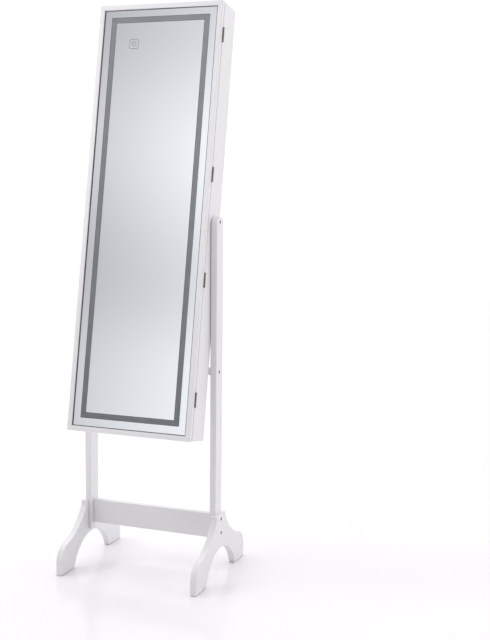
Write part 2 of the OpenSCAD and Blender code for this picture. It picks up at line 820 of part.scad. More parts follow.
module door_board() {
    color("white") in_case() difference() {
        plate([board_inset - case_w / 2, board_inset, case_w / 2 - board_inset, case_h - board_inset],
            frame_t, board_t);
        board_screw_places() sunk_hole(board_screw_len, board_screw_head, board_screw_r);
        leaf_screw_places(door_t, 180)
            sunk_hole(leaf_screw_len - leaf_t, leaf_screw_r, leaf_screw_r - fit);
        lead_holes();
    }
}
module board_screws() {
    color("darkgray") in_case() board_screw_places()
        sunk_screw(board_screw_len - play, board_screw_head, board_screw_r);
}

module door_lining() {
    edge = panel_t + door_lining_gap;
    color("dimgray") in_case() difference() {
        plate([edge - case_w / 2, edge, case_w / 2 - edge, case_h - edge], door_t, lining_t);
        lead_holes();
    }
}

// Battery box: a tray with corner posts that carry its cover
module battery_box() {
    outer = rect_at(box_x, box_z, box_w, box_h);
    inner = inset(outer, box_wall);
    post_z = 2 * box_post;
    color("whitesmoke") in_case() difference() {
        plate(outer, door_inner_y, box_d);
        difference() {
            plate(inner, door_inner_y + box_wall, box_d);
            for (x = [inner[0], inner[2] - box_post], z = [inner[1], inner[3] - post_z])
                plate([x, z, x + box_post, z + post_z], door_inner_y, box_d - box_wall - play);
        }
        lead_holes();
    }
}
module battery_cells() {
    color("slategray") in_case() for (i = [0:cells - 1]) {
        turn = i % 2 == 0 ? 1 : -1;
        translate([box_x, cell_y, box_z + (i - (cells - 1) / 2) * cell_pitch]) rotate([0, turn * 90, 0]) {
            translate([0, 0, -cell_len / 2]) cylinder(h = cell_len - button_len, r = cell_d / 2);
            translate([0, 0, cell_len / 2 - button_len]) cylinder(h = button_len, r = button_r);
        }
    }
}

// Contact plates at both ends of each pair of cells, with a dome per cell
module battery_contacts() {
    wall_x = box_w / 2 - box_wall;
    plate_h = 2 * (cell_pitch - 2 * box_post);
    color("silver") in_case() for (side = [-1, 1], pair = [-1, 1]) {
        plate(rect_at(box_x + side * (wall_x - contact_t / 2), box_z + pair * cell_pitch,
            contact_t, plate_h), cell_y - contact_w / 2, contact_w);
        for (dz = [-0.5, 0.5])
            translate([box_x, 0, 0]) along_x(side, wall_x - cell_room + play, cell_room - play,
                cell_y, box_z + (pair + dz) * cell_pitch, dome_r);
    }
}
module battery_cover() {
    inner = inset(rect_at(box_x, box_z, box_w, box_h), box_wall + play);
    y = door_inner_y + box_d - box_wall;
    color("whitesmoke") in_case() {
        plate(inner, y - play, box_wall);
        // ribbed thumb grip
        for (i = [-2:2]) translate([box_x - grip_w / 2, y - play + box_wall, box_z + i * grip_pitch])
            cube([grip_w, grip_rib_h, grip_rib_w]);
    }
}

// Earring bars: an angle with a row of notches along its ledge
module earring_bars() {
    base_h = 10;
    ledge_d = 12;
    bar_t = 1.6;
    notch_w = 2;
    notch_d = 7;
    notch_pitch = 10;
    notches = floor(earring_w / notch_pitch) - 1;
    color("gainsboro") in_case() for (v = earring_v) translate([0, door_inner_y, v]) difference() {
        union() {
            translate([-earring_w / 2, 0, 0]) cube([earring_w, bar_t, base_h]);
            translate([-earring_w / 2, 0, 0]) cube([earring_w, ledge_d, bar_t]);
        }
        for (i = [0:notches - 1])
            translate([(i - (notches - 1) / 2) * notch_pitch - notch_w / 2, ledge_d - notch_d, -eps])
                cube([notch_w, notch_d + eps, bar_t + 2 * eps]);
    }
}

// Hinges: leaves in the gap beside the door, knuckles in turn round one pin
knuckle_len = (hinge_len - (knuckles - 1) * play) / knuckles;
function knuckle_z(i) = -hinge_len / 2 + i * (knuckle_len + play);
module hinge_leaf(leaf_y, first) {
    difference() {
        union() {
            translate([case_w / 2 - leaf_w, leaf_y, -hinge_len / 2]) cube([leaf_w, leaf_t, hinge_len]);
            for (i = [first:2:knuckles - 1]) translate([0, 0, knuckle_z(i)]) {
                translate([case_w / 2 - eps, leaf_y, 0])
                    cube([hinge_x - case_w / 2 + eps, leaf_t, knuckle_len]);
                translate([hinge_x, hinge_y, 0]) cylinder(h = knuckle_len, d = hinge_barrel_d);
            }
        }
        translate([hinge_x, hinge_y, -hinge_len]) cylinder(h = 2 * hinge_len, r = pin_d / 2 + fit);
    }
}
module hinge_case_leaves() {
    color("dimgray") in_case() difference() {
        for (v = hinge_v) translate([0, 0, v]) hinge_leaf(carcass_y - leaf_t, 0);
        leaf_screw_places(carcass_y - leaf_t, 0) sunk_hole(leaf_screw_len, leaf_screw_head, leaf_screw_r);
    }
}
module hinge_door_leaves() {
    color("dimgray") in_case() difference() {
        for (v = hinge_v) translate([0, 0, v]) hinge_leaf(door_t, 1);
        leaf_screw_places(door_t + leaf_t, 180)
            sunk_hole(leaf_screw_len, leaf_screw_head, leaf_screw_r);
    }
}
module hinge_pins() {
    color("gray") in_case() for (v = hinge_v) translate([hinge_x, hinge_y, v]) {
        cylinder(h = hinge_len + pin_head, d = pin_d, center = true);
        for (s = [-1, 1]) translate([0, 0, s * (hinge_len + pin_head) / 2])
            cylinder(h = pin_head, d = 0.75 * hinge_barrel_d, center = true);
    }
}
module hinge_case_screws() {
    color("gray") in_case() leaf_screw_places(carcass_y - leaf_t, 0)
        sunk_screw(leaf_screw_len - play, leaf_screw_head, leaf_screw_r);
}
module hinge_door_screws() {
    color("gray") in_case() leaf_screw_places(door_t + leaf_t, 180)
        sunk_screw(leaf_screw_len - play, leaf_screw_head, leaf_screw_r);
}

foot(-1);  // foot_left
foot(1);  // foot_right
upright(-1);  // upright_left
upright(1);  // upright_right
stretcher();
cross_rail();
stretcher_bolts();
barrel_nuts();
rail_bolts();
rail_inserts();
rest_pads();
floor_glides();
side_panel(-1);  // side_left
side_panel(1);  // side_right
end_panel(case_h - panel_t);  // case_top
end_panel(0);  // case_bottom
back_panel();
back_screws();
case_dowels();
back_lining();
pivot_bolts();
pivot_inserts();
pivot_spacers();
necklace_rail();
necklace_pegs();
ring_tray();
ring_rolls();
shelf(shelf_v[0]);  // shelf_lower
shelf(shelf_v[1]);  // shelf_middle
shelf(shelf_v[2]);  // shelf_upper
shelf_lips();
shelf_pins();
catch_magnets();
hinge_case_leaves();
hinge_pins();
hinge_case_screws();
door_stile_left();
door_stile_right();
door_rail_top();
door_rail_bottom();
mirror_glass();
mirror_silvering();
light_band();
glass_tape();
light_strips();
touch_symbol();
touch_sensor();
light_driver();
door_wiring();
door_board();
board_screws();
door_lining();
battery_box();
battery_cells();
battery_contacts();
battery_cover();
earring_bars();
catch_plates();
hinge_door_leaves();
hinge_door_screws();
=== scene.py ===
import json
import math

import bmesh
import bpy
from bpy.props import FloatProperty, FloatVectorProperty, IntProperty, PointerProperty
from mathutils import Matrix, Vector


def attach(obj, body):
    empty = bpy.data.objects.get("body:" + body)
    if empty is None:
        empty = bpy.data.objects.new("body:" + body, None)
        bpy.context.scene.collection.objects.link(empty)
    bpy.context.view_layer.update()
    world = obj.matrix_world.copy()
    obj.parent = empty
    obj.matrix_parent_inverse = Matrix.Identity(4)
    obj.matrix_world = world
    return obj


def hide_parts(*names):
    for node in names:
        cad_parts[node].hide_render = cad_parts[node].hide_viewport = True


bl_info = {
    "name": "Standing mirror cabinet",
    "version": (1, 0, 0),
    "blender": (4, 5, 0),
    "location": "View3D > Sidebar > Mirror cabinet",
    "description": "Dresses the packed mirror cabinet in lacquer, glass, velvet and metal",
    "category": "Object",
}

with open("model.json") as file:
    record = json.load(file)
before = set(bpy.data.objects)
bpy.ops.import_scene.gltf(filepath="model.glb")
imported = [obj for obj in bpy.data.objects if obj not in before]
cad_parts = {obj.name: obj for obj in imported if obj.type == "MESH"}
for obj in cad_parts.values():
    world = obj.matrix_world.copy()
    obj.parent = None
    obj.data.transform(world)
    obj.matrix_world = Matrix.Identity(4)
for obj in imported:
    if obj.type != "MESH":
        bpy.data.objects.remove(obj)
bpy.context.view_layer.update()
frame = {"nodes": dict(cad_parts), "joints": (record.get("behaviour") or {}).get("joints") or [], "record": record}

BODY_OF = {node: body for body, nodes in frame["record"]["behaviour"]["bodies"].items()
           for node in nodes}
SLOT_OF = {entry["node"]: entry["material_slot"] for entry in frame["record"]["subparts"]}

# The case leans, so pieces inside it are laid out in axes of its own, taken
# from its joints: across, backwards and upwards from the pivot axis
TILT_JOINT = next(j for j in frame["joints"] if j["name"] == "case_tilt")
DOOR_JOINT = next(j for j in frame["joints"] if j["name"] == "door_swing")
CASE_UP = Vector(DOOR_JOINT["axis"]).normalized()
CASE_BACK = CASE_UP.cross(Vector((1, 0, 0)))
CASE = Matrix(((1, CASE_BACK.x, CASE_UP.x, 0), (0, CASE_BACK.y, CASE_UP.y, 0),
               (0, CASE_BACK.z, CASE_UP.z, TILT_JOINT["pos_m"][2]), (0, 0, 0, 1)))

# Corners closer than this are one, faces flatter than the first angle are joined, and
# edges sharper than the second are rounded
WELD = 1e-6
FLAT_ANGLE = math.radians(0.6)
SHARP_ANGLE = math.radians(32)


# Shader helpers

def put(tree, kind, place=(0, 0), **settings):
    """Adds a node; settings name its properties or, with spaces as _, its inputs."""
    node = tree.nodes.new(kind)
    node.location = place
    for key, value in settings.items():
        if hasattr(node, key):
            setattr(node, key, value)
        else:
            node.inputs[key.replace("_", " ")].default_value = value
    return node


def wire(tree, source, target):
    """Links a socket to the target socket, or sets the target to a plain value."""
    if isinstance(source, bpy.types.NodeSocket):
        tree.links.new(source, target)
    else:
        target.default_value = source


def new_group(name, inputs, outputs):
    """An empty shader node group with named sockets."""
    tree = bpy.data.node_groups.new(name, "ShaderNodeTree")
    for label, kind, value in inputs:
        socket = tree.interface.new_socket(name=label, in_out="INPUT", socket_type=kind)
        socket.default_value = value
    for label, kind in outputs:
        tree.interface.new_socket(name=label, in_out="OUTPUT", socket_type=kind)
    return tree, put(tree, "NodeGroupInput", (-900, 0)), put(tree, "NodeGroupOutput", (700, 0))


# The mix node's colour sockets, which share their labels with its other kinds
MIX_FIRST, MIX_SECOND, MIX_RESULT = 6, 7, 2

COLOUR, NUMBER = "NodeSocketColor", "NodeSocketFloat"
SURFACE_OUTPUTS = [("Colour", COLOUR), ("Roughness", NUMBER), ("Height", NUMBER)]

# The part of a noise's range that is spread over the whole range of a roughness or tone
GLOSS_NOISE = (0.3, 0.7)


def noise(tree, vector, scale, detail, place=(0, 0), distortion=0.0):
    """Noise on a vector; scale is a number or the socket that gives it."""
    node = put(tree, "ShaderNodeTexNoise", place, Detail=detail, Distortion=distortion)
    wire(tree, vector, node.inputs["Vector"])
    wire(tree, scale, node.inputs["Scale"])
    return node.outputs["Fac"]


def remap(tree, value, low, high, to_low=0.0, to_high=1.0, place=(0, 0)):
    """Maps a value from one range to another; the ends may be sockets."""
    node = put(tree, "ShaderNodeMapRange", place)
    for label, source in (("Value", value), ("From Min", low), ("From Max", high),
                          ("To Min", to_low), ("To Max", to_high)):
        wire(tree, source, node.inputs[label])
    return node.outputs["Result"]


def maths(tree, operation, first, second=None, place=(0, 0), clamp=False):
    """The result of a maths node on sockets or numbers."""
    node = put(tree, "ShaderNodeMath", place, operation=operation, use_clamp=clamp)
    wire(tree, first, node.inputs[0])
    if second is not None:
        wire(tree, second, node.inputs[1])
    return node.outputs[0]


def times(tree, first, second, place=(0, 0)):
    """Two colours or vectors, multiplied channel by channel."""
    node = put(tree, "ShaderNodeVectorMath", place, operation="MULTIPLY")
    wire(tree, first, node.inputs[0])
    wire(tree, second, node.inputs[1])
    return node.outputs[0]


def blend_colours(tree, factor, first, second, place=(0, 0)):
    """Mixes two colours, each of them a socket or a plain colour."""
    node = put(tree, "ShaderNodeMix", place, data_type="RGBA")
    wire(tree, factor, node.inputs["Factor"])
    wire(tree, first, node.inputs[MIX_FIRST])
    wire(tree, second, node.inputs[MIX_SECOND])
    return node.outputs[MIX_RESULT]


def object_point(tree, place=(-900, -300)):
    """The object coordinate that every finish is laid out in."""
    return put(tree, "ShaderNodeTexCoord", place).outputs["Object"]


def finish_group(tree, given, result, tones, share, gloss, height):
    """Wires a group's outputs: two tones by share, roughness by gloss, and relief."""
    first, second = (given.outputs[label] for label in tones)
    wire(tree, blend_colours(tree, share, first, second, (100, 200)), result.inputs["Colour"])
    wire(tree, remap(tree, gloss, *GLOSS_NOISE, given.outputs["Least roughness"],
                     given.outputs["Most roughness"], (100, -50)), result.inputs["Roughness"])
    wire(tree, height, result.inputs["Height"])
    return tree


def lacquer_group():
    """Sprayed lacquer: broad tone, uneven gloss and a fine orange peel."""
    tree, given, result = new_group("Lacquer film", [
        ("Colour", COLOUR, (0.8, 0.8, 0.8, 1)), ("Shade", COLOUR, (0.75, 0.75, 0.76, 1)),
        ("Tone scale", NUMBER, 5.0), ("Peel scale", NUMBER, 420.0),
        ("Least roughness", NUMBER, 0.3), ("Most roughness", NUMBER, 0.4)], SURFACE_OUTPUTS)
    point = object_point(tree)
    tone = noise(tree, point, scale=given.outputs["Tone scale"], detail=3.0, place=(-600, 200))
    tone = remap(tree, tone, low=0.35, high=0.68, place=(-350, 200))
    gloss = noise(tree, point, scale=38.0, detail=4.0, place=(-600, -50))
    peel = noise(tree, point, scale=given.outputs["Peel scale"], detail=1.5, place=(-600, -300))
    return finish_group(tree, given, result, ("Colour", "Shade"), tone, gloss, peel)


def nap_group():
    """Velvet or felt: short fibres, and broad marks where the nap is crushed."""
    tree, given, result = new_group("Fibre nap", [
        ("Colour", COLOUR, (0.1, 0.1, 0.1, 1)), ("Crushed", COLOUR, (0.2, 0.2, 0.2, 1)),
        ("Crush scale", NUMBER, 18.0), ("Fibre scale", NUMBER, 1500.0)], SURFACE_OUTPUTS)
    point = object_point(tree)
    crush = noise(tree, point, scale=given.outputs["Crush scale"], detail=4.0,
                  place=(-600, 200), distortion=1.2)
    fibre = noise(tree, point, scale=given.outputs["Fibre scale"], detail=3.0, place=(-600, -200))
    share = remap(tree, crush, low=0.42, high=0.66, to_high=0.7, place=(-350, 200))
    thread = remap(tree, fibre, low=0.3, high=0.75, to_high=0.3, place=(-350, -100))
    total = maths(tree, "ADD", share, thread, (-100, 100), clamp=True)
    wire(tree, blend_colours(tree, total, given.outputs["Colour"], given.outputs["Crushed"],
                             (150, 150)), result.inputs["Colour"])
    wire(tree, remap(tree, fibre, *GLOSS_NOISE, to_low=0.85, place=(150, -100)),
         result.inputs["Roughness"])
    wire(tree, fibre, result.inputs["Height"])
    return tree


def metal_group():
    """Plated or brushed metal: fine lines along Z, and a little tarnish."""
    tree, given, result = new_group("Worked metal", [
        ("Colour", COLOUR, (0.6, 0.6, 0.6, 1)), ("Tarnish", COLOUR, (0.4, 0.4, 0.4, 1)),
        ("Line scale", NUMBER, 900.0), ("Least roughness", NUMBER, 0.25),
        ("Most roughness", NUMBER, 0.4)], SURFACE_OUTPUTS)
    point = object_point(tree)
    stretch = put(tree, "ShaderNodeMapping", (-750, -100), Scale=(1.0, 1.0, 0.04))
    wire(tree, point, stretch.inputs["Vector"])
    line = noise(tree, stretch.outputs["Vector"], scale=given.outputs["Line scale"],
                 detail=3.0, place=(-500, -100))
    cloud = noise(tree, point, scale=160.0, detail=3.0, place=(-500, 200))
    cloud = remap(tree, cloud, low=0.48, high=0.75, to_high=0.8, place=(-250, 200))
    return finish_group(tree, given, result, ("Colour", "Tarnish"), cloud, line, line)


def moulded_group():
    """Moulded plastic, foam or card: a fine even grain and slight colour drift."""
    tree, given, result = new_group("Moulded skin", [
        ("Colour", COLOUR, (0.8, 0.8, 0.8, 1)), ("Drift", COLOUR, (0.75, 0.75, 0.75, 1)),
        ("Grain scale", NUMBER, 1200.0), ("Least roughness", NUMBER, 0.4),
        ("Most roughness", NUMBER, 0.55)], SURFACE_OUTPUTS)
    point = object_point(tree)
    grain = noise(tree, point, scale=given.outputs["Grain scale"], detail=2.0, place=(-600, -200))
    drift = noise(tree, point, scale=30.0, detail=2.0, place=(-600, 200))
    drift = remap(tree, drift, low=0.35, high=0.7, place=(-300, 200))
    return finish_group(tree, given, result, ("Colour", "Drift"), drift, grain, grain)


GROUP_MAKERS = {"Lacquer film": lacquer_group, "Fibre nap": nap_group,
                "Worked metal": metal_group, "Moulded skin": moulded_group}


def shared_group(name):
    """The node group of that name, built the first time that it is asked for."""
    return bpy.data.node_groups.get(name) or GROUP_MAKERS[name]()


def group_material(name, group, values, bump, bump_depth=0.0001, **shader_values):
    """A Principled material whose colour, roughness and relief come from a shared group."""
    material = bpy.data.materials.new(name)
    material.use_nodes = True
    tree = material.node_tree
    shader = tree.nodes["Principled BSDF"]
    for label, value in shader_values.items():
        shader.inputs[label.replace("_", " ")].default_value = value
    surface = put(tree, "ShaderNodeGroup", (-500, 0), node_tree=shared_group(group))
    for label, value in values.items():
        surface.inputs[label].default_value = value
    relief = put(tree, "ShaderNodeBump", (-250, -250), Strength=bump, Distance=bump_depth)
    wire(tree, surface.outputs["Height"], relief.inputs["Height"])
    wire(tree, surface.outputs["Colour"], shader.inputs["Base Color"])
    wire(tree, surface.outputs["Roughness"], shader.inputs["Roughness"])
    wire(tree, relief.outputs["Normal"], shader.inputs["Normal"])
    return material


# How much rougher than its own value a glass gets where it is hazed
HAZE = 0.006


def plain_glass(name, colour, ior, roughness):
    """Clear glass or acrylic, with transmission and metallic left plain."""
    material = bpy.data.materials.new(name)
    material.use_nodes = True
    tree = material.node_tree
    shader = tree.nodes["Principled BSDF"]
    shader.inputs["IOR"].default_value = ior
    shader.inputs["Transmission Weight"].default_value = 1.0
    shader.inputs["Base Color"].default_value = colour
    haze = noise(tree, object_point(tree), scale=9.0, detail=4.0, place=(-600, -100))
    wire(tree, remap(tree, haze, low=0.45, high=0.8, to_low=roughness,
                     to_high=roughness + HAZE, place=(-300, -100)), shader.inputs["Roughness"])
    return material


def lighter(colour, by):
    """The colour with each channel multiplied, alpha kept."""
    return tuple(min(1.0, c * by) for c in colour[:3]) + (1.0,)


# Kinds of finish, each of two tones: roughness gives the least and the most

def lacquered(name, colour, shade, tone_scale, peel_scale, roughness, **more):
    """A lacquered or faced surface."""
    return group_material(name, "Lacquer film", {
        "Colour": colour, "Shade": shade, "Tone scale": tone_scale, "Peel scale": peel_scale,
        "Least roughness": roughness[0], "Most roughness": roughness[1]}, **more)


def napped(name, colour, crushed, crush_scale, fibre_scale, **more):
    """A velvet or felt surface."""
    return group_material(name, "Fibre nap", {
        "Colour": colour, "Crushed": crushed, "Crush scale": crush_scale,
        "Fibre scale": fibre_scale}, bump_depth=0.0003, **more)


def worked(name, colour, tarnish, line_scale, roughness, metallic=1.0, **more):
    """A plated, turned or polished metal surface."""
    return group_material(name, "Worked metal", {
        "Colour": colour, "Tarnish": tarnish, "Line scale": line_scale,
        "Least roughness": roughness[0], "Most roughness": roughness[1]},
        Metallic=metallic, **more)


def moulded(name, colour, drift, grain_scale, roughness, **more):
    """A moulded, foamed, painted or cut surface with an even grain."""
    return group_material(name, "Moulded skin", {
        "Colour": colour, "Drift": drift, "Grain scale": grain_scale,
        "Least roughness": roughness[0], "Most roughness": roughness[1]}, **more)


# One maker for each material slot of the record

# How far the lacquer's roughness strays to either side of its mean
GLOSS_STRAY = 0.05


def lacquered_board(scene):
    """Satin white lacquer on board."""
    look = scene.cabinet_lacquer
    roughness = (look.roughness - GLOSS_STRAY, look.roughness + GLOSS_STRAY)
    return lacquered("Satin white lacquer", look.colour, look.shade, tone_scale=4.0,
                     peel_scale=420.0, roughness=roughness, bump=look.peel, bump_depth=0.00006)


def faced_board(scene):
    """Thin board with a printed white face."""
    look = scene.cabinet_lacquer
    return lacquered("White faced board", lighter(look.colour, 0.97), lighter(look.shade, 0.96),
                     tone_scale=7.0, peel_scale=260.0, roughness=(0.42, 0.56), bump=0.12,
                     bump_depth=0.00008)


def dowel_wood(scene):
    """Plain beech dowel."""
    return moulded("Beech dowel", (0.5, 0.33, 0.17, 1), (0.4, 0.25, 0.12, 1), grain_scale=700.0,
                   roughness=(0.55, 0.7), bump=0.2)


def lining_felt(scene):
    """Short velvet on the lining boards."""
    velvet = scene.cabinet_lining.velvet
    return napped("Grey lining velvet", velvet, lighter(velvet, 1.4), crush_scale=14.0,
                  fibre_scale=1600.0, bump=0.5, Sheen_Weight=0.45, Sheen_Roughness=0.4,
                  Specular_IOR_Level=0.2)


def roll_velvet(scene):
    """Soft velvet of the ring rolls."""
    velvet = scene.cabinet_lining.roll_velvet
    return napped("Ring roll velvet", velvet, lighter(velvet, 1.9), crush_scale=40.0,
                  fibre_scale=2000.0, bump=0.55, Sheen_Weight=0.6, Sheen_Roughness=0.35,
                  Specular_IOR_Level=0.2)


def pad_felt(scene):
    """Pressed felt of the stop pads."""
    return napped("Pressed felt", (0.28, 0.27, 0.26, 1), (0.38, 0.37, 0.35, 1), crush_scale=300.0,
                  fibre_scale=2400.0, bump=0.7, Sheen_Weight=0.3)


def clear_glass(scene):
    """The mirror's float glass."""
    return plain_glass("Float glass", scene.cabinet_mirror.glass, ior=1.5, roughness=0.0)


def silvering(scene):
    """The mirror's silver layer, with the slightest ripple of sheet glass."""
    material = bpy.data.materials.new("Silvering")
    material.use_nodes = True
    tree = material.node_tree
    shader = tree.nodes["Principled BSDF"]
    shader.inputs["Metallic"].default_value = 1.0
    shader.inputs["Roughness"].default_value = 0.015
    point = object_point(tree, (-1100, 0))
    tone = noise(tree, point, scale=3.0, detail=2.0, place=(-900, 100))
    tone = remap(tree, tone, *GLOSS_NOISE, place=(-650, 100))
    silver = scene.cabinet_mirror.silver
    wire(tree, blend_colours(tree, tone, silver, lighter(silver, 0.985), (-350, 100)),
         shader.inputs["Base Color"])
    ripple = put(tree, "ShaderNodeBump", (-350, -250), Strength=0.01, Distance=0.001)
    wave = noise(tree, point, scale=5.0, detail=1.0, place=(-650, -350))
    wire(tree, wave, ripple.inputs["Height"])
    wire(tree, ripple.outputs["Normal"], shader.inputs["Normal"])
    return material


# Heights between which the unlit band turns from its painted shade at the foot to its painted sheen at the top
BAND_SHADE_TO_SHEEN_HEIGHTS = (0.4, 1.56)


def frosted_glass(scene):
    """The etched band and touch symbol, unlit: painted shade darker towards the foot and painted sheen lighter
    towards the top, as in the photo.
    """
    look = scene.cabinet_mirror
    material = moulded("Etched band", look.band, look.band, grain_scale=1800.0,
                       roughness=(0.4, 0.55), bump=0.08, Specular_IOR_Level=0.4)
    tree = material.node_tree
    parts = put(tree, "ShaderNodeSeparateXYZ", (-1500, 200))
    wire(tree, object_point(tree, (-1700, 200)), parts.inputs[0])
    share = remap(tree, parts.outputs["Z"], *BAND_SHADE_TO_SHEEN_HEIGHTS, place=(-1300, 200))
    surface = next(node for node in tree.nodes if node.bl_idname == "ShaderNodeGroup")
    # Both tones blend from the painted shade at the foot to the painted sheen at the top
    for label, tone, height in (("Colour", 1.0, 300), ("Drift", 0.94, 0)):
        wire(tree, blend_colours(tree, share, lighter(look.band_painted_shade, tone),
                                 lighter(look.band, tone), (-850, height)), surface.inputs[label])
    return material


def foam_tape(scene):
    """Closed foam tape behind the glass."""
    return moulded("Foam tape", (0.03, 0.03, 0.03, 1), (0.05, 0.05, 0.05, 1), grain_scale=900.0,
                   roughness=(0.8, 0.95), bump=0.4)


def light_strip(scene):
    """The light strip's yellowish unlit coating."""
    return moulded("Light strip", (0.82, 0.76, 0.42, 1), (0.86, 0.84, 0.7, 1), grain_scale=300.0,
                   roughness=(0.35, 0.5), bump=0.2)


def circuit_board(scene):
    """Green solder mask."""
    return moulded("Circuit board", (0.02, 0.13, 0.05, 1), (0.03, 0.18, 0.07, 1),
                   grain_scale=500.0, roughness=(0.25, 0.4), bump=0.1)


def lead_sheath(scene):
    """Insulated ribbon lead."""
    return moulded("Lead sheath", (0.4, 0.02, 0.02, 1), (0.3, 0.02, 0.02, 1), grain_scale=900.0,
                   roughness=(0.4, 0.5), bump=0.1)


def screw_steel(scene):
    """Zinc plated screws and plates."""
    zinc = scene.cabinet_fittings.zinc
    return worked("Zinc plated steel", zinc, lighter(zinc, 0.85), line_scale=1500.0,
                  roughness=(0.28, 0.42), bump=0.08)


def bolt_steel(scene):
    """Nickel plated furniture bolts."""
    bolt = scene.cabinet_fittings.bolt
    return worked("Nickel plated bolts", bolt, lighter(bolt, 0.7), line_scale=1500.0,
                  roughness=(0.25, 0.4), bump=0.08)


def insert_brass(scene):
    """Turned brass inserts."""
    return worked("Turned brass", (0.72, 0.5, 0.2, 1), (0.5, 0.33, 0.12, 1), line_scale=1500.0,
                  roughness=(0.25, 0.4), bump=0.1)


def peg_metal(scene):
    """Polished pegs and shelf pins."""
    peg = scene.cabinet_fittings.peg
    return worked("Polished pegs", peg, lighter(peg, 0.85), line_scale=2200.0,
                  roughness=(0.08, 0.16), bump=0.03)


def hinge_steel(scene):
    """Dark plated hinges."""
    hinge = scene.cabinet_fittings.hinge
    return worked("Dark plated hinge", hinge, lighter(hinge, 1.9), line_scale=1600.0,
                  roughness=(0.3, 0.48), metallic=0.75, bump=0.12)


def clear_plastic(scene):
    """Clear acrylic of the shelf lips."""
    return plain_glass("Clear acrylic", (0.97, 0.985, 0.99, 1), ior=1.49, roughness=0.02)


def white_plastic(scene):
    """White moulded plastic."""
    plastic = scene.cabinet_fittings.plastic
    return moulded("White moulded plastic", plastic, lighter(plastic, 0.96), grain_scale=1500.0,
                   roughness=(0.36, 0.5), bump=0.15)


def grey_plastic(scene):
    """Pale grey moulded plastic of the earring bars."""
    plastic = scene.cabinet_fittings.plastic
    return moulded("Grey moulded plastic", lighter(plastic, 0.62), lighter(plastic, 0.58),
                   grain_scale=1500.0, roughness=(0.34, 0.48), bump=0.15)


def cell_wrap(scene):
    """Plain dark sleeve of the battery cells."""
    return worked("Cell sleeve", (0.03, 0.04, 0.07, 1), (0.05, 0.06, 0.1, 1), line_scale=500.0,
                  roughness=(0.2, 0.3), metallic=0.4, bump=0.05)


def backing_paint(scene):
    """Grey backing paint, seen as a thin line where the silver was taken off."""
    return moulded("Mirror backing paint", (0.16, 0.165, 0.18, 1), (0.12, 0.125, 0.14, 1),
                   grain_scale=1500.0, roughness=(0.5, 0.7), bump=0.1)


def glass_sealant(scene):
    """Dark grey sealant in the corner between the glass and the frame's lip, dark enough to paint the shadow in
    the gap there as well.
    """
    return moulded("Glass sealant and gap shadow", (0.06, 0.062, 0.067, 1), (0.05, 0.052, 0.056, 1),
                   grain_scale=900.0, roughness=(0.4, 0.55), bump=0.15)


SLOT_MAKERS = {maker.__name__: maker for maker in (
    lacquered_board, faced_board, dowel_wood, lining_felt, roll_velvet, pad_felt, clear_glass,
    silvering, frosted_glass, foam_tape, light_strip, circuit_board, lead_sheath, screw_steel,
    bolt_steel, insert_brass, peg_metal, hinge_steel, clear_plastic, white_plastic, grey_plastic,
    cell_wrap, backing_paint, glass_sealant)}
made_materials = {}


def slot_material(scene, slot):
    """The material of a slot, made once."""
    if slot not in made_materials:
        made_materials[slot] = SLOT_MAKERS[slot](scene)
    return made_materials[slot]


# Mesh helpers

def finish_piece(scene, mesh, name, node, trim=None):
    """Turns a bmesh into a piece that rides with a CAD node, and stands for it unless it
    is trim, which has a finish of its own."""
    data = bpy.data.meshes.new(name)
    mesh.to_mesh(data)
    mesh.free()
    piece = bpy.data.objects.new(name, data)
    scene.collection.objects.link(piece)
    data.materials.append(slot_material(scene, trim or SLOT_OF[node]))
    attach(piece, BODY_OF[node])
    if not trim:
        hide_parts(node)
    return piece


def node_bmesh(node):
    """A welded copy of a CAD node's mesh, with its flat faces made whole again."""
    mesh = bmesh.new()
    mesh.from_mesh(frame["nodes"][node].data)
    bmesh.ops.remove_doubles(mesh, verts=mesh.verts, dist=WELD)
    bmesh.ops.dissolve_limit(mesh, angle_limit=FLAT_ANGLE, verts=mesh.verts, edges=mesh.edges)
    return mesh


def sharp_edges(mesh):
    """The edges where two faces meet at more than the sharp angle."""
    return [e for e in mesh.edges
            if len(e.link_faces) == 2 and e.calc_face_angle(0.0) > SHARP_ANGLE]


def round_edges(mesh, width, segments):
    """Bevels the sharp edges by the given width."""
    if width > 0:
        bmesh.ops.bevel(mesh, geom=sharp_edges(mesh), offset=width, segments=segments,
                        profile=0.5, affect="EDGES", clamp_overlap=False)


def smooth_mesh(mesh):
    """Shades the mesh smooth, apart from the edges that stay sharp."""
    for face in mesh.faces:
        face.smooth = True
    for edge in sharp_edges(mesh):
        edge.smooth = False


# How strongly a large face draws the shading of the rounded edges beside it
FACE_WEIGHT = 90


def eased_piece(scene, node, radius, segments=2):
    """A copy of a CAD node with its sharp edges rounded, in place of the node."""
    mesh = node_bmesh(node)
    round_edges(mesh, radius, segments)
    smooth_mesh(mesh)
    piece = finish_piece(scene, mesh, node + "_finished", node)
    modifier = piece.modifiers.new("Flat faces", "WEIGHTED_NORMAL")
    modifier.keep_sharp = True
    modifier.weight = FACE_WEIGHT
    return piece


def ease_nodes(scene, radius, *nodes):
    """Rounds the edges of several nodes by one radius."""
    for node in nodes:
        eased_piece(scene, node, radius)


def flat_piece(scene, node, chamfer=0.0, forward=0.0):
    """A copy of a CAD node whose faces stay optically flat, in place of the node."""
    mesh = node_bmesh(node)
    bmesh.ops.translate(mesh, verts=mesh.verts, vec=-forward * CASE_BACK)
    round_edges(mesh, chamfer, 1)
    for face in mesh.faces:
        face.smooth = False
    finish_piece(scene, mesh, node + "_finished", node)


def dress_nodes(scene, *nodes):
    """Gives CAD nodes that stay as packed the materials of their slots."""
    for node in nodes:
        data = frame["nodes"][node].data
        data.materials.clear()
        data.materials.append(slot_material(scene, SLOT_OF[node]))


def bridge(mesh, loops):
    """Joins each loop of corners to the next with a strip of faces."""
    for first, second in zip(loops, loops[1:]):
        for k, corner in enumerate(first):
            after = (k + 1) % len(first)
            mesh.faces.new((corner, first[after], second[after], second[k]))


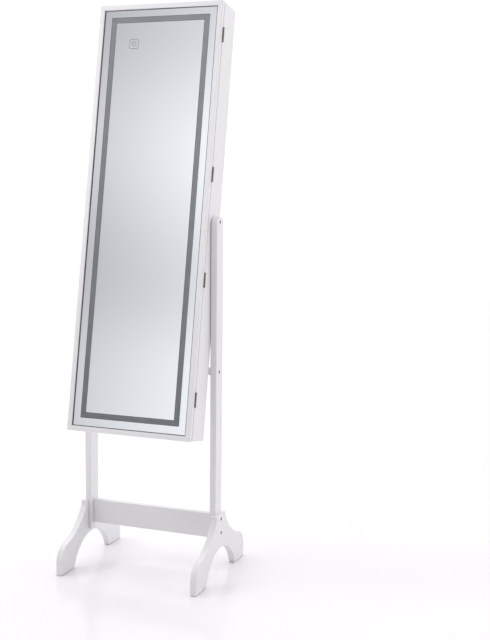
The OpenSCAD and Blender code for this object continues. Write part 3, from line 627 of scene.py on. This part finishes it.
def rectangle(mesh, sides, insets, back):
    """Four corners within the left, right, bottom and top sides, in the case's axes."""
    x0, x1, z0, z1 = (side + inset for side, inset in zip(
        sides, (insets[0], -insets[1], insets[2], -insets[3])))
    return [mesh.verts.new((x, back, z)) for x, z in ((x0, z0), (x1, z0), (x1, z1), (x0, z1))]


def solid_boxes(node):
    """The box of each separate solid of a node, in the case's axes, from the bottom up."""
    mesh = bmesh.new()
    mesh.from_mesh(frame["nodes"][node].data)
    bmesh.ops.remove_doubles(mesh, verts=mesh.verts, dist=WELD)
    mesh.transform(CASE.inverted())
    boxes, seen = [], set()
    for start in mesh.verts:
        if start in seen:
            continue
        seen.add(start)
        found, queue = [], [start]
        while queue:
            vertex = queue.pop()
            found.append(vertex.co.copy())
            for edge in vertex.link_edges:
                other = edge.other_vert(vertex)
                if other not in seen:
                    seen.add(other)
                    queue.append(other)
        low = Vector(min(p[i] for p in found) for i in range(3))
        high = Vector(max(p[i] for p in found) for i in range(3))
        boxes.append((low, high))
    mesh.free()
    return sorted(boxes, key=lambda b: b[0].z)


# Settings

class LacquerSettings(bpy.types.PropertyGroup):
    """White lacquer of the stand, case and frame."""
    colour: FloatVectorProperty(name="Lacquer", description="Colour of the lacquer",
                                subtype="COLOR", size=4, min=0, max=1,
                                default=(0.82, 0.81, 0.83, 1.0))
    shade: FloatVectorProperty(name="Shade", description="Slightly darker tone that drifts through",
                               subtype="COLOR", size=4, min=0, max=1,
                               default=(0.80, 0.79, 0.81, 1.0))
    roughness: FloatProperty(name="Roughness", description="Mean roughness of the lacquer",
                             subtype="FACTOR", min=0.1, max=0.9, default=0.34)
    edge_radius: FloatProperty(name="Edge radius", description="Rounding of the boards' edges",
                               unit="LENGTH", min=0.0002, max=0.002, default=0.0009)
    peel: FloatProperty(name="Orange peel", description="Relief of the sprayed surface",
                        subtype="FACTOR", min=0, max=1, default=0.08)


class MirrorSettings(bpy.types.PropertyGroup):
    """Glass, silvering and etched band."""
    glass: FloatVectorProperty(name="Glass", description="Tint of the glass", subtype="COLOR",
                               size=4, min=0, max=1, default=(0.985, 1.0, 0.995, 1.0))
    silver: FloatVectorProperty(name="Silver", description="Tint of the silvering",
                                subtype="COLOR", size=4, min=0, max=1,
                                default=(0.91, 0.93, 0.975, 1.0))
    # The band's top colour carries a painted sheen and its colour at the foot a painted shade
    band: FloatVectorProperty(name="Etched band", description="Colour of the unlit band's top",
                              subtype="COLOR", size=4, min=0, max=1,
                              default=(0.62, 0.627, 0.665, 1.0))
    band_painted_shade: FloatVectorProperty(name="Band at the foot", description="Its colour at the bottom",
                                  subtype="COLOR", size=4, min=0, max=1,
                                  default=(0.33, 0.338, 0.365, 1.0))
    band_width: FloatProperty(name="Band width", description="Width of the etched band",
                              unit="LENGTH", min=0.005, max=0.03, default=0.015)
    line_width: FloatProperty(name="Edge lines", description="Width of the paint lines beside it",
                              unit="LENGTH", min=0.0002, max=0.002, default=0.0011)
    # Width of the dark bead, which is sealant and also paints the shadow in the gap
    sealant_shadow_width: FloatProperty(name="Sealant", description="Width of the sealant under the glass",
                              unit="LENGTH", min=0.0005, max=0.004, default=0.0019)


class LiningSettings(bpy.types.PropertyGroup):
    """Velvet inside the case."""
    velvet: FloatVectorProperty(name="Lining velvet", description="Colour of the lining",
                                subtype="COLOR", size=4, min=0, max=1,
                                default=(0.085, 0.08, 0.09, 1.0))
    roll_velvet: FloatVectorProperty(name="Roll velvet", description="Colour of the ring rolls",
                                     subtype="COLOR", size=4, min=0, max=1,
                                     default=(0.06, 0.056, 0.065, 1.0))
    pleats: IntProperty(name="Pleats", description="Folds gathered at each end of a ring roll",
                        min=0, max=24, default=12)
    pleat_depth: FloatProperty(name="Pleat depth", description="Depth of those folds",
                               unit="LENGTH", min=0, max=0.001, default=0.0004)


class FittingSettings(bpy.types.PropertyGroup):
    """Metal and plastic fittings."""
    bolt: FloatVectorProperty(name="Bolts", description="Colour of the bolts", subtype="COLOR",
                              size=4, min=0, max=1, default=(0.24, 0.236, 0.248, 1.0))
    zinc: FloatVectorProperty(name="Zinc", description="Colour of the screws and plates",
                              subtype="COLOR", size=4, min=0, max=1,
                              default=(0.53, 0.53, 0.55, 1.0))
    hinge: FloatVectorProperty(name="Hinges", description="Colour of the hinges",
                               subtype="COLOR", size=4, min=0, max=1,
                               default=(0.25, 0.242, 0.24, 1.0))
    peg: FloatVectorProperty(name="Pegs", description="Colour of the pegs and pins",
                             subtype="COLOR", size=4, min=0, max=1,
                             default=(0.78, 0.78, 0.8, 1.0))
    plastic: FloatVectorProperty(name="Plastic", description="Colour of the white plastic",
                                 subtype="COLOR", size=4, min=0, max=1,
                                 default=(0.78, 0.78, 0.77, 1.0))
    edge_radius: FloatProperty(name="Edge radius", description="Rounding of the fittings' edges",
                               unit="LENGTH", min=0, max=0.0005, default=0.00015)


class StudioSettings(bpy.types.PropertyGroup):
    """Floor, light all round and lamps."""
    floor: FloatVectorProperty(name="Floor", description="Colour of the floor", subtype="COLOR",
                               size=4, min=0, max=1, default=(0.852, 0.843, 0.852, 1.0))
    light: FloatVectorProperty(name="Light", description="Colour of the light all round",
                               subtype="COLOR", size=4, min=0, max=2, default=(1.0, 0.99, 1.0, 1.0))
    top: FloatVectorProperty(name="Light above", description="Light from straight above",
                             subtype="COLOR", size=4, min=0, max=4, default=(1.9, 1.9, 1.9, 1.0))
    key_power: FloatProperty(name="Key lamp", description="Power of the large lamp on the left",
                             unit="POWER", min=0, max=400, default=36)
    near_power: FloatProperty(name="Near lamp", unit="POWER", min=0, max=40, default=0.85,
                              description="Power of the small lamp beside the door's left stile")


# Rounding in metres of the edges that no setting gives; the first is for the thin boards
# and the door's frame
PANEL_EDGE = 0.0003
VELVET_EDGE = 0.0006
FELT_EDGE = 0.0005
LIP_EDGE = 0.0004
PIN_EDGE = 0.0003
BATTERY_BOX_EDGE = 0.0003
CELL_EDGE = 0.0004
EARRING_BAR_EDGE = 0.0002
HINGE_EDGE = 0.0001
MAGNET_EDGE = 0.0006
PLATE_EDGE = 0.0002
GLASS_CHAMFER = 0.0005
# The tray's thin walls are rounded by this share of the boards' radius
TRAY_EDGE_SHARE = 0.7
# Steps in the rounding of soft pieces
SOFT_STEPS = 3


# Operators

class CABINET_OT_stand_boards(bpy.types.Operator):
    """Lacquers the feet, uprights, stretcher and cross rail."""
    bl_idname = "cabinet.stand_boards"
    bl_label = "Stand boards"

    def execute(self, context):
        ease_nodes(context.scene, context.scene.cabinet_lacquer.edge_radius, "foot_left",
                   "foot_right", "upright_left", "upright_right", "stretcher", "cross_rail")
        return {"FINISHED"}


class CABINET_OT_stand_fittings(bpy.types.Operator):
    """Makes the bolts, nuts, inserts, stop pads and floor glides."""
    bl_idname = "cabinet.stand_fittings"
    bl_label = "Stand fittings"

    def execute(self, context):
        scene = context.scene
        ease_nodes(scene, scene.cabinet_fittings.edge_radius, "stretcher_bolts", "rail_bolts",
                   "floor_glides")
        eased_piece(scene, "rest_pads", FELT_EDGE, SOFT_STEPS)
        dress_nodes(scene, "barrel_nuts", "rail_inserts")
        return {"FINISHED"}


class CABINET_OT_case_boards(bpy.types.Operator):
    """Lacquers the sides, top, bottom and back of the case."""
    bl_idname = "cabinet.case_boards"
    bl_label = "Case boards"

    def execute(self, context):
        scene = context.scene
        ease_nodes(scene, scene.cabinet_lacquer.edge_radius, "side_left", "side_right",
                   "case_top", "case_bottom")
        ease_nodes(scene, PANEL_EDGE, "back_panel")
        return {"FINISHED"}


class CABINET_OT_case_fittings(bpy.types.Operator):
    """Makes the pivot bolts and spacers, and finishes the screws, dowels and inserts."""
    bl_idname = "cabinet.case_fittings"
    bl_label = "Case fittings"

    def execute(self, context):
        scene = context.scene
        ease_nodes(scene, scene.cabinet_fittings.edge_radius, "pivot_bolts", "pivot_spacers")
        dress_nodes(scene, "back_screws", "case_dowels", "pivot_inserts")
        return {"FINISHED"}


class CABINET_OT_linings(bpy.types.Operator):
    """Covers the back and the door inside with velvet boards."""
    bl_idname = "cabinet.linings"
    bl_label = "Velvet linings"

    def execute(self, context):
        for node in ("back_lining", "door_lining"):
            eased_piece(context.scene, node, VELVET_EDGE, SOFT_STEPS)
        return {"FINISHED"}


class CABINET_OT_shelves(bpy.types.Operator):
    """Makes the shelves, their clear lips and their pins."""
    bl_idname = "cabinet.shelves"
    bl_label = "Shelves"

    def execute(self, context):
        scene = context.scene
        ease_nodes(scene, scene.cabinet_lacquer.edge_radius, "shelf_lower", "shelf_middle",
                   "shelf_upper")
        ease_nodes(scene, LIP_EDGE, "shelf_lips")
        ease_nodes(scene, PIN_EDGE, "shelf_pins")
        return {"FINISHED"}


class CABINET_OT_necklace_rail(bpy.types.Operator):
    """Makes the necklace rail and its pegs, whose ends are round already."""
    bl_idname = "cabinet.necklace_rail"
    bl_label = "Necklace rail"

    def execute(self, context):
        scene = context.scene
        ease_nodes(scene, scene.cabinet_lacquer.edge_radius, "necklace_rail")
        ease_nodes(scene, 0.0, "necklace_pegs")
        return {"FINISHED"}


# Ring rolls: corners round the section, and rings along the middle
ROLL_CORNERS, MIDDLE_RINGS = 36, 40
# Rings of a drawn-in end: degrees along a quarter circle
END_ANGLES = range(10, 91, 16)
# Length of a drawn-in end and of the pleats, as shares of the radius
END_SHARE, PLEAT_SHARE = 0.45, 2.2
# Radius where the roll closes, as a share of the whole, and how far the tip stays inside
CLOSED_SHARE, TIP_INSET = 0.62, 0.0006
# The section is pressed towards a rounded square: the power of its curve and its size
PRESS_POWER, PRESS_SIZE = 2.5, 0.955
# Slow swelling: depth as a share of the radius, and the radians that its wave runs on for
# each metre and each roll
SWELL, SWELL_TURN, SWELL_SHIFT = 0.012, 95, 1.7


def roll_mesh(low, high, pleats, pleat_depth, number):
    """A soft roll in the given box: flatter where it is pressed, with drawn-in ends."""
    centre = (low + high) / 2
    radius = (high.z - low.z) / 2
    half = (high.x - low.x) / 2
    end_len = END_SHARE * radius
    end = [-half + end_len * (1 - math.cos(math.radians(a))) for a in END_ANGLES]
    middle = [-half + end_len + (2 * half - 2 * end_len) * i / MIDDLE_RINGS
              for i in range(1, MIDDLE_RINGS)]
    mesh = bmesh.new()
    rings = []
    for x in end + middle + [-x for x in reversed(end)]:
        from_end = half - abs(x)
        near = max(0.0, 1 - from_end / (PLEAT_SHARE * radius))
        drawn = math.sqrt(max(0.0, 1 - (1 - min(1.0, from_end / end_len)) ** 2))
        ring = []
        for k in range(ROLL_CORNERS):
            a = 2 * math.pi * k / ROLL_CORNERS
            c, s = math.cos(a), math.sin(a)
            pressed = (abs(c) ** PRESS_POWER + abs(s) ** PRESS_POWER) ** (-1 / PRESS_POWER)
            swell = SWELL * (1 + math.sin(x * SWELL_TURN + number * SWELL_SHIFT + 2 * a))
            r = radius * min(1.0, pressed * PRESS_SIZE) * (1 - swell)
            r *= CLOSED_SHARE + (1 - CLOSED_SHARE) * drawn
            r -= pleat_depth * near * (1 + math.cos(pleats * a + number)) / 2
            ring.append(mesh.verts.new(centre + Vector((x, r * c, r * s))))
        rings.append(ring)
    bridge(mesh, rings)
    for ring, sign in ((rings[0], -1), (rings[-1], 1)):
        tip = mesh.verts.new(centre + Vector((sign * (half - TIP_INSET), 0, 0)))
        for k, corner in enumerate(ring):
            mesh.faces.new((corner, ring[(k + 1) % ROLL_CORNERS], tip))
    bmesh.ops.recalc_face_normals(mesh, faces=mesh.faces)
    for face in mesh.faces:
        face.smooth = True
    return mesh


class CABINET_OT_ring_tray(bpy.types.Operator):
    """Makes the tray, and soft velvet rolls with gathered ends in it."""
    bl_idname = "cabinet.ring_tray"
    bl_label = "Ring tray and rolls"

    def execute(self, context):
        scene = context.scene
        look = scene.cabinet_lining
        ease_nodes(scene, scene.cabinet_lacquer.edge_radius * TRAY_EDGE_SHARE, "ring_tray")
        boxes = solid_boxes("ring_rolls")
        if not boxes:
            raise RuntimeError("the ring rolls have no solids")
        for number, (low, high) in enumerate(boxes):
            mesh = roll_mesh(low, high, look.pleats, look.pleat_depth, number)
            mesh.transform(CASE)
            piece = finish_piece(scene, mesh, "ring_roll_%d" % (number + 1), "ring_rolls")
        return {"FINISHED"}


class CABINET_OT_door_frame(bpy.types.Operator):
    """Lacquers the stiles and rails round the mirror."""
    bl_idname = "cabinet.door_frame"
    bl_label = "Door frame"

    def execute(self, context):
        ease_nodes(context.scene, PANEL_EDGE, "door_stile_left", "door_stile_right",
                   "door_rail_top", "door_rail_bottom")
        return {"FINISHED"}


# Silver and etched coatings sit this far into the glass, so no air shows between
COATING_DEPTH = 0.00005
# Thickness of the paint lines beside the etched band
LINE_DEPTH = 0.00002
# Section of the sealant's bead: in from the lip as a share of its width, and out from the glass
BEAD_SECTION = ((0.0, 0.0005), (0.25, 0.00047), (0.5, 0.00038), (0.75, 0.00022), (1.0, 0.0))
# The bead's width on the left, right, bottom and top, as shares of the width under the glass:
# widest at the hinge side and at the bottom and narrow at the left and top, set to paint the shadow in the gap
# between glass and lip where it shows
BEAD_SHADOW_SHARES = (0.36, 1.15, 1.0, 0.3)
# How far the bead is let into the glass's face, so that no two faces lie together
BEAD_SINK = 0.00002


def paint_line(scene, name, sides, inset, width, depth):
    """A thin rectangular line of backing paint within the sides, in the case's axes."""
    mesh = bmesh.new()
    loops = [rectangle(mesh, sides, (grow,) * 4, depth + back) for grow, back in (
        (inset, 0.0), (inset + width, 0.0), (inset + width, LINE_DEPTH), (inset, LINE_DEPTH))]
    bridge(mesh, loops + loops[:1])
    mesh.transform(CASE)
    finish_piece(scene, mesh, name, "light_band", trim="backing_paint")


def sealant_shadow_bead(scene):
    """The bead of sealant all round the glass, in the corner under the frame's lip; its dark grey also paints the
    shadow in the gap there.
    """
    left, right, top, bottom = (solid_boxes(node)[0] for node in (
        "door_stile_left", "door_stile_right", "door_rail_top", "door_rail_bottom"))
    sides = left[1].x, right[0].x, bottom[1].z, top[0].z
    face = solid_boxes("mirror_glass")[0][0].y
    width = scene.cabinet_mirror.sealant_shadow_width
    mesh = bmesh.new()
    loops = [rectangle(mesh, sides, [share * width * side for side in BEAD_SHADOW_SHARES], face - out)
             for share, out in ((0.0, -BEAD_SINK),) + BEAD_SECTION + ((1.0, -BEAD_SINK),)]
    bridge(mesh, loops + loops[:1])
    bmesh.ops.recalc_face_normals(mesh, faces=mesh.faces)
    mesh.transform(CASE)
    finish_piece(scene, mesh, "glass_sealant_shadow_bead", "mirror_glass", trim="glass_sealant")


class CABINET_OT_mirror(bpy.types.Operator):
    """Finishes the glass, the silvering, the etched band and the touch symbol."""
    bl_idname = "cabinet.mirror"
    bl_label = "Mirror"

    def execute(self, context):
        scene = context.scene
        flat_piece(scene, "mirror_glass", chamfer=GLASS_CHAMFER)
        for node in ("mirror_silvering", "light_band", "touch_symbol"):
            flat_piece(scene, node, forward=COATING_DEPTH)
        low, high = solid_boxes("light_band")[0]
        sides = low.x, high.x, low.z, high.z
        depth = low.y - 2 * COATING_DEPTH
        look = scene.cabinet_mirror
        for name, inset in (("band_outer_line", 0.0), ("band_inner_line", look.band_width)):
            paint_line(scene, name, sides, inset - look.line_width / 2, look.line_width, depth)
        sealant_shadow_bead(scene)
        return {"FINISHED"}


class CABINET_OT_door_lights(bpy.types.Operator):
    """Finishes the tape, light strip, sensor, driver and leads in the door."""
    bl_idname = "cabinet.door_lights"
    bl_label = "Lights in the door"

    def execute(self, context):
        dress_nodes(context.scene, "glass_tape", "light_strips", "touch_sensor", "light_driver",
                    "door_wiring")
        return {"FINISHED"}


class CABINET_OT_door_board(bpy.types.Operator):
    """Finishes the board behind the frame and its screws."""
    bl_idname = "cabinet.door_board"
    bl_label = "Door board"

    def execute(self, context):
        ease_nodes(context.scene, PANEL_EDGE, "door_board")
        dress_nodes(context.scene, "board_screws")
        return {"FINISHED"}


class CABINET_OT_battery_box(bpy.types.Operator):
    """Makes the battery box, its cover, its contacts and its cells."""
    bl_idname = "cabinet.battery_box"
    bl_label = "Battery box"

    def execute(self, context):
        ease_nodes(context.scene, BATTERY_BOX_EDGE, "battery_box", "battery_cover")
        ease_nodes(context.scene, CELL_EDGE, "battery_cells")
        dress_nodes(context.scene, "battery_contacts")
        return {"FINISHED"}


class CABINET_OT_earring_bars(bpy.types.Operator):
    """Makes the notched earring bars on the door."""
    bl_idname = "cabinet.earring_bars"
    bl_label = "Earring bars"

    def execute(self, context):
        ease_nodes(context.scene, EARRING_BAR_EDGE, "earring_bars")
        return {"FINISHED"}


class CABINET_OT_hinges(bpy.types.Operator):
    """Makes the hinges' leaves, pins and screws."""
    bl_idname = "cabinet.hinges"
    bl_label = "Hinges"

    def execute(self, context):
        ease_nodes(context.scene, HINGE_EDGE, "hinge_case_leaves", "hinge_door_leaves",
                   "hinge_pins")
        dress_nodes(context.scene, "hinge_case_screws", "hinge_door_screws")
        return {"FINISHED"}


class CABINET_OT_catches(bpy.types.Operator):
    """Makes the magnetic catches and their plates."""
    bl_idname = "cabinet.catches"
    bl_label = "Catches"

    def execute(self, context):
        ease_nodes(context.scene, MAGNET_EDGE, "catch_magnets")
        ease_nodes(context.scene, PLATE_EDGE, "catch_plates")
        return {"FINISHED"}


# Camera, fitted to the photograph's edges: place in metres, angles in degrees
CAMERA_PLACE = (1.3294, -2.8069, 1.1224)
CAMERA_YAW, CAMERA_PITCH, CAMERA_ROLL = 20.75, 7.241, 0.525
CAMERA_LENS, CAMERA_SENSOR = 62.06, 36.0
CAMERA_SHIFT = (0.0075, -0.0042)


def camera_matrix():
    """World matrix of the camera from its place, yaw, pitch and roll."""
    yaw, pitch, roll = (math.radians(a) for a in (CAMERA_YAW, CAMERA_PITCH, CAMERA_ROLL))
    forward = Vector((-math.sin(yaw) * math.cos(pitch), math.cos(yaw) * math.cos(pitch),
                      -math.sin(pitch)))
    level = Vector((math.cos(yaw), math.sin(yaw), 0))
    upright = level.cross(forward)
    right = math.cos(roll) * level + math.sin(roll) * upright
    up = math.cos(roll) * upright - math.sin(roll) * level
    turn = Matrix((right, up, -forward)).transposed().to_4x4()
    return Matrix.Translation(CAMERA_PLACE) @ turn


def floor_material(scene):
    """Pale studio floor with a soft gloss."""
    floor = scene.cabinet_studio.floor
    return lacquered("Studio floor", floor, lighter(floor, 0.99), tone_scale=0.6, peel_scale=60.0,
                     roughness=(0.1, 0.14), bump=0.02, bump_depth=0.0002)


# Light near the floor, all round: degrees from straight in front of the mirror,
# turning towards its right-hand side, and the strength there
LOW_LIGHT = ((0, 0.70), (45, 0.35), (90, 1.0), (118, 2.55), (150, 1.2), (180, 1.06),
             (218, 1.06), (240, 0.85), (270, 1.0), (315, 0.95), (328, 0.54), (338, 1.01),
             (348, 0.92), (360, 0.70))
# The same for the light from halfway up
HIGH_LIGHT = ((0, 0.25), (90, 0.5), (180, 1.1), (270, 1.75), (360, 0.25))
# Two soft panels in front with a dimmer gap between them: degrees above the floor
# and the share of the low light
PANEL_HEIGHTS = ((0, 0.95), (8.5, 1.01), (13.5, 0.86), (20.5, 1.11), (28, 0.86), (36, 1.0))
# Values of the direction's Y between which the panels fade out at the sides
PANEL_REACH = (-0.7, -0.2)
# Degrees above the floor over which one light gives way to the next
LOW_TO_HIGH = (25.0, 50.0)
HIGH_TO_TOP = (50.0, 80.0)


def light_ramp(tree, value, stops, interpolation, place):
    """Strength of light as a colour ramp over a value that runs to the last stop."""
    node = put(tree, "ShaderNodeValToRGB", place)
    ramp = node.color_ramp
    ramp.interpolation = interpolation
    while len(ramp.elements) < len(stops):
        ramp.elements.new(0.5)
    for element, (angle, strength) in zip(ramp.elements, stops):
        element.position = angle / stops[-1][0]
        element.color = (strength, strength, strength, 1)
    wire(tree, value, node.inputs[0])
    return node.outputs["Color"]


def studio_world(scene):
    """Light all round: low down strongest on the right, higher up on the left, with soft
    panels in front."""
    look = scene.cabinet_studio
    world = bpy.data.worlds.new("Studio")
    scene.world = world
    world.use_nodes = True
    tree = world.node_tree
    backdrop = tree.nodes["Background"]
    direction = put(tree, "ShaderNodeTexCoord", (-1900, 0)).outputs["Generated"]
    parts = put(tree, "ShaderNodeSeparateXYZ", (-1700, 0))
    wire(tree, direction, parts.inputs[0])
    x, y, z = (parts.outputs[axis] for axis in "XYZ")
    height = maths(tree, "ARCSINE", z, place=(-1500, -300))
    forward = maths(tree, "MULTIPLY", y, -1.0, (-1500, 100))
    turn = maths(tree, "ARCTAN2", x, forward, (-1300, 200))
    turns = maths(tree, "MULTIPLY", turn, 1 / math.tau, (-1100, 200))
    round_share = maths(tree, "FRACT", turns, place=(-900, 200))
    low = light_ramp(tree, round_share, LOW_LIGHT, "LINEAR", (-650, 300))
    high = light_ramp(tree, round_share, HIGH_LIGHT, "LINEAR", (-650, 50))
    panel_top = math.radians(PANEL_HEIGHTS[-1][0])
    up_share = remap(tree, height, 0.0, panel_top, place=(-900, 600))
    panels = light_ramp(tree, up_share, PANEL_HEIGHTS, "EASE", (-650, 600))
    past_panels = remap(tree, y, *PANEL_REACH, place=(-650, 1000))
    panels = blend_colours(tree, past_panels, panels, (1, 1, 1, 1), (-300, 700))
    front = times(tree, low, panels, (-100, 500))
    to_high, to_top = (remap(tree, height, *(math.radians(a) for a in span), place=(-300, down))
                       for span, down in ((LOW_TO_HIGH, -200), (HIGH_TO_TOP, -500)))
    strength = blend_colours(tree, to_high, front, high, (100, 300))
    strength = blend_colours(tree, to_top, strength, look.top, (300, 100))
    wire(tree, times(tree, strength, look.light[:3], (500, 0)), backdrop.inputs["Color"])
    backdrop.location = (700, 0)


# Radius of the round studio floor and how far the camera sees, in metres
FLOOR_RADIUS, CAMERA_REACH = 90.0, 200.0
FLOOR_CORNERS = 96
# Lamps: place, point aimed at, side of the square panel, spread of the beam in degrees
KEY_LAMP = ((-3.9, -1.7, 3.9), (0.0, 0.0, 1.0), 1.3, 180)
NEAR_LAMP = ((-0.8, -1.5, 2.1), (-0.25, -0.1, 1.32), 0.8, 55)


def soft_lamp(scene, name, power, place, target, side, spread):
    """Hangs one square lamp panel, kept out of sight of the camera and the mirror."""
    panel = bpy.data.lights.new(name, "AREA")
    panel.shape = "SQUARE"
    panel.size = side
    panel.spread = math.radians(spread)
    panel.energy = power
    lamp = bpy.data.objects.new(name, panel)
    scene.collection.objects.link(lamp)
    lamp.location = place
    lamp.rotation_euler = (Vector(target) - lamp.location).to_track_quat("-Z", "Y").to_euler()
    lamp.visible_camera = False
    lamp.visible_glossy = False
    lamp.visible_transmission = False


class CABINET_OT_studio(bpy.types.Operator):
    """Makes the pale floor, the light and the camera."""
    bl_idname = "cabinet.studio"
    bl_label = "Studio"

    def execute(self, context):
        scene = context.scene
        mesh = bmesh.new()
        bmesh.ops.create_circle(mesh, cap_ends=True, segments=FLOOR_CORNERS,
                                radius=FLOOR_RADIUS)
        data = bpy.data.meshes.new("studio_floor")
        mesh.to_mesh(data)
        mesh.free()
        floor = bpy.data.objects.new("studio_floor", data)
        data.materials.append(floor_material(scene))
        scene.collection.objects.link(floor)
        studio_world(scene)
        soft_lamp(scene, "key_lamp", scene.cabinet_studio.key_power, *KEY_LAMP)
        soft_lamp(scene, "near_lamp", scene.cabinet_studio.near_power, *NEAR_LAMP)
        camera = bpy.data.cameras.new("camera")
        camera.sensor_width = CAMERA_SENSOR
        camera.lens = CAMERA_LENS
        camera.shift_x, camera.shift_y = CAMERA_SHIFT
        camera.clip_end = CAMERA_REACH
        viewer = bpy.data.objects.new("camera", camera)
        scene.collection.objects.link(viewer)
        viewer.matrix_world = camera_matrix()
        scene.camera = viewer
        scene.view_settings.view_transform = "Standard"
        return {"FINISHED"}


class CABINET_PT_panel(bpy.types.Panel):
    """Settings and steps of the mirror cabinet."""
    bl_idname = "CABINET_PT_panel"
    bl_label = "Mirror cabinet"
    bl_space_type = "VIEW_3D"
    bl_region_type = "UI"
    bl_category = "Mirror cabinet"

    def draw(self, context):
        for name in SETTINGS:
            box = self.layout.box()
            group = getattr(context.scene, name)
            for key in type(group).__annotations__:
                box.prop(group, key)
        column = self.layout.column(align=True)
        for operator in OPERATORS:
            column.operator(operator.bl_idname)


SETTINGS = {"cabinet_lacquer": LacquerSettings, "cabinet_mirror": MirrorSettings,
            "cabinet_lining": LiningSettings, "cabinet_fittings": FittingSettings,
            "cabinet_studio": StudioSettings}
OPERATORS = (CABINET_OT_stand_boards, CABINET_OT_stand_fittings, CABINET_OT_case_boards,
             CABINET_OT_case_fittings, CABINET_OT_linings, CABINET_OT_shelves,
             CABINET_OT_necklace_rail, CABINET_OT_ring_tray, CABINET_OT_door_frame,
             CABINET_OT_mirror, CABINET_OT_door_lights, CABINET_OT_door_board,
             CABINET_OT_battery_box, CABINET_OT_earring_bars, CABINET_OT_hinges,
             CABINET_OT_catches, CABINET_OT_studio)


def register():
    """Registers the settings, the operators and the panel."""
    for name, settings in SETTINGS.items():
        bpy.utils.register_class(settings)
        setattr(bpy.types.Scene, name, PointerProperty(type=settings))
    for operator in OPERATORS:
        bpy.utils.register_class(operator)
    bpy.utils.register_class(CABINET_PT_panel)


def unregister():
    """Takes them out again."""
    bpy.utils.unregister_class(CABINET_PT_panel)
    for operator in reversed(OPERATORS):
        bpy.utils.unregister_class(operator)
    for name, settings in SETTINGS.items():
        delattr(bpy.types.Scene, name)
        bpy.utils.unregister_class(settings)


def main():
    """Builds the whole dressed model."""
    register()
    for operator in OPERATORS:
        area, name = operator.bl_idname.split(".")
        getattr(getattr(bpy.ops, area), name)()


if __name__ == "__main__":
    main()
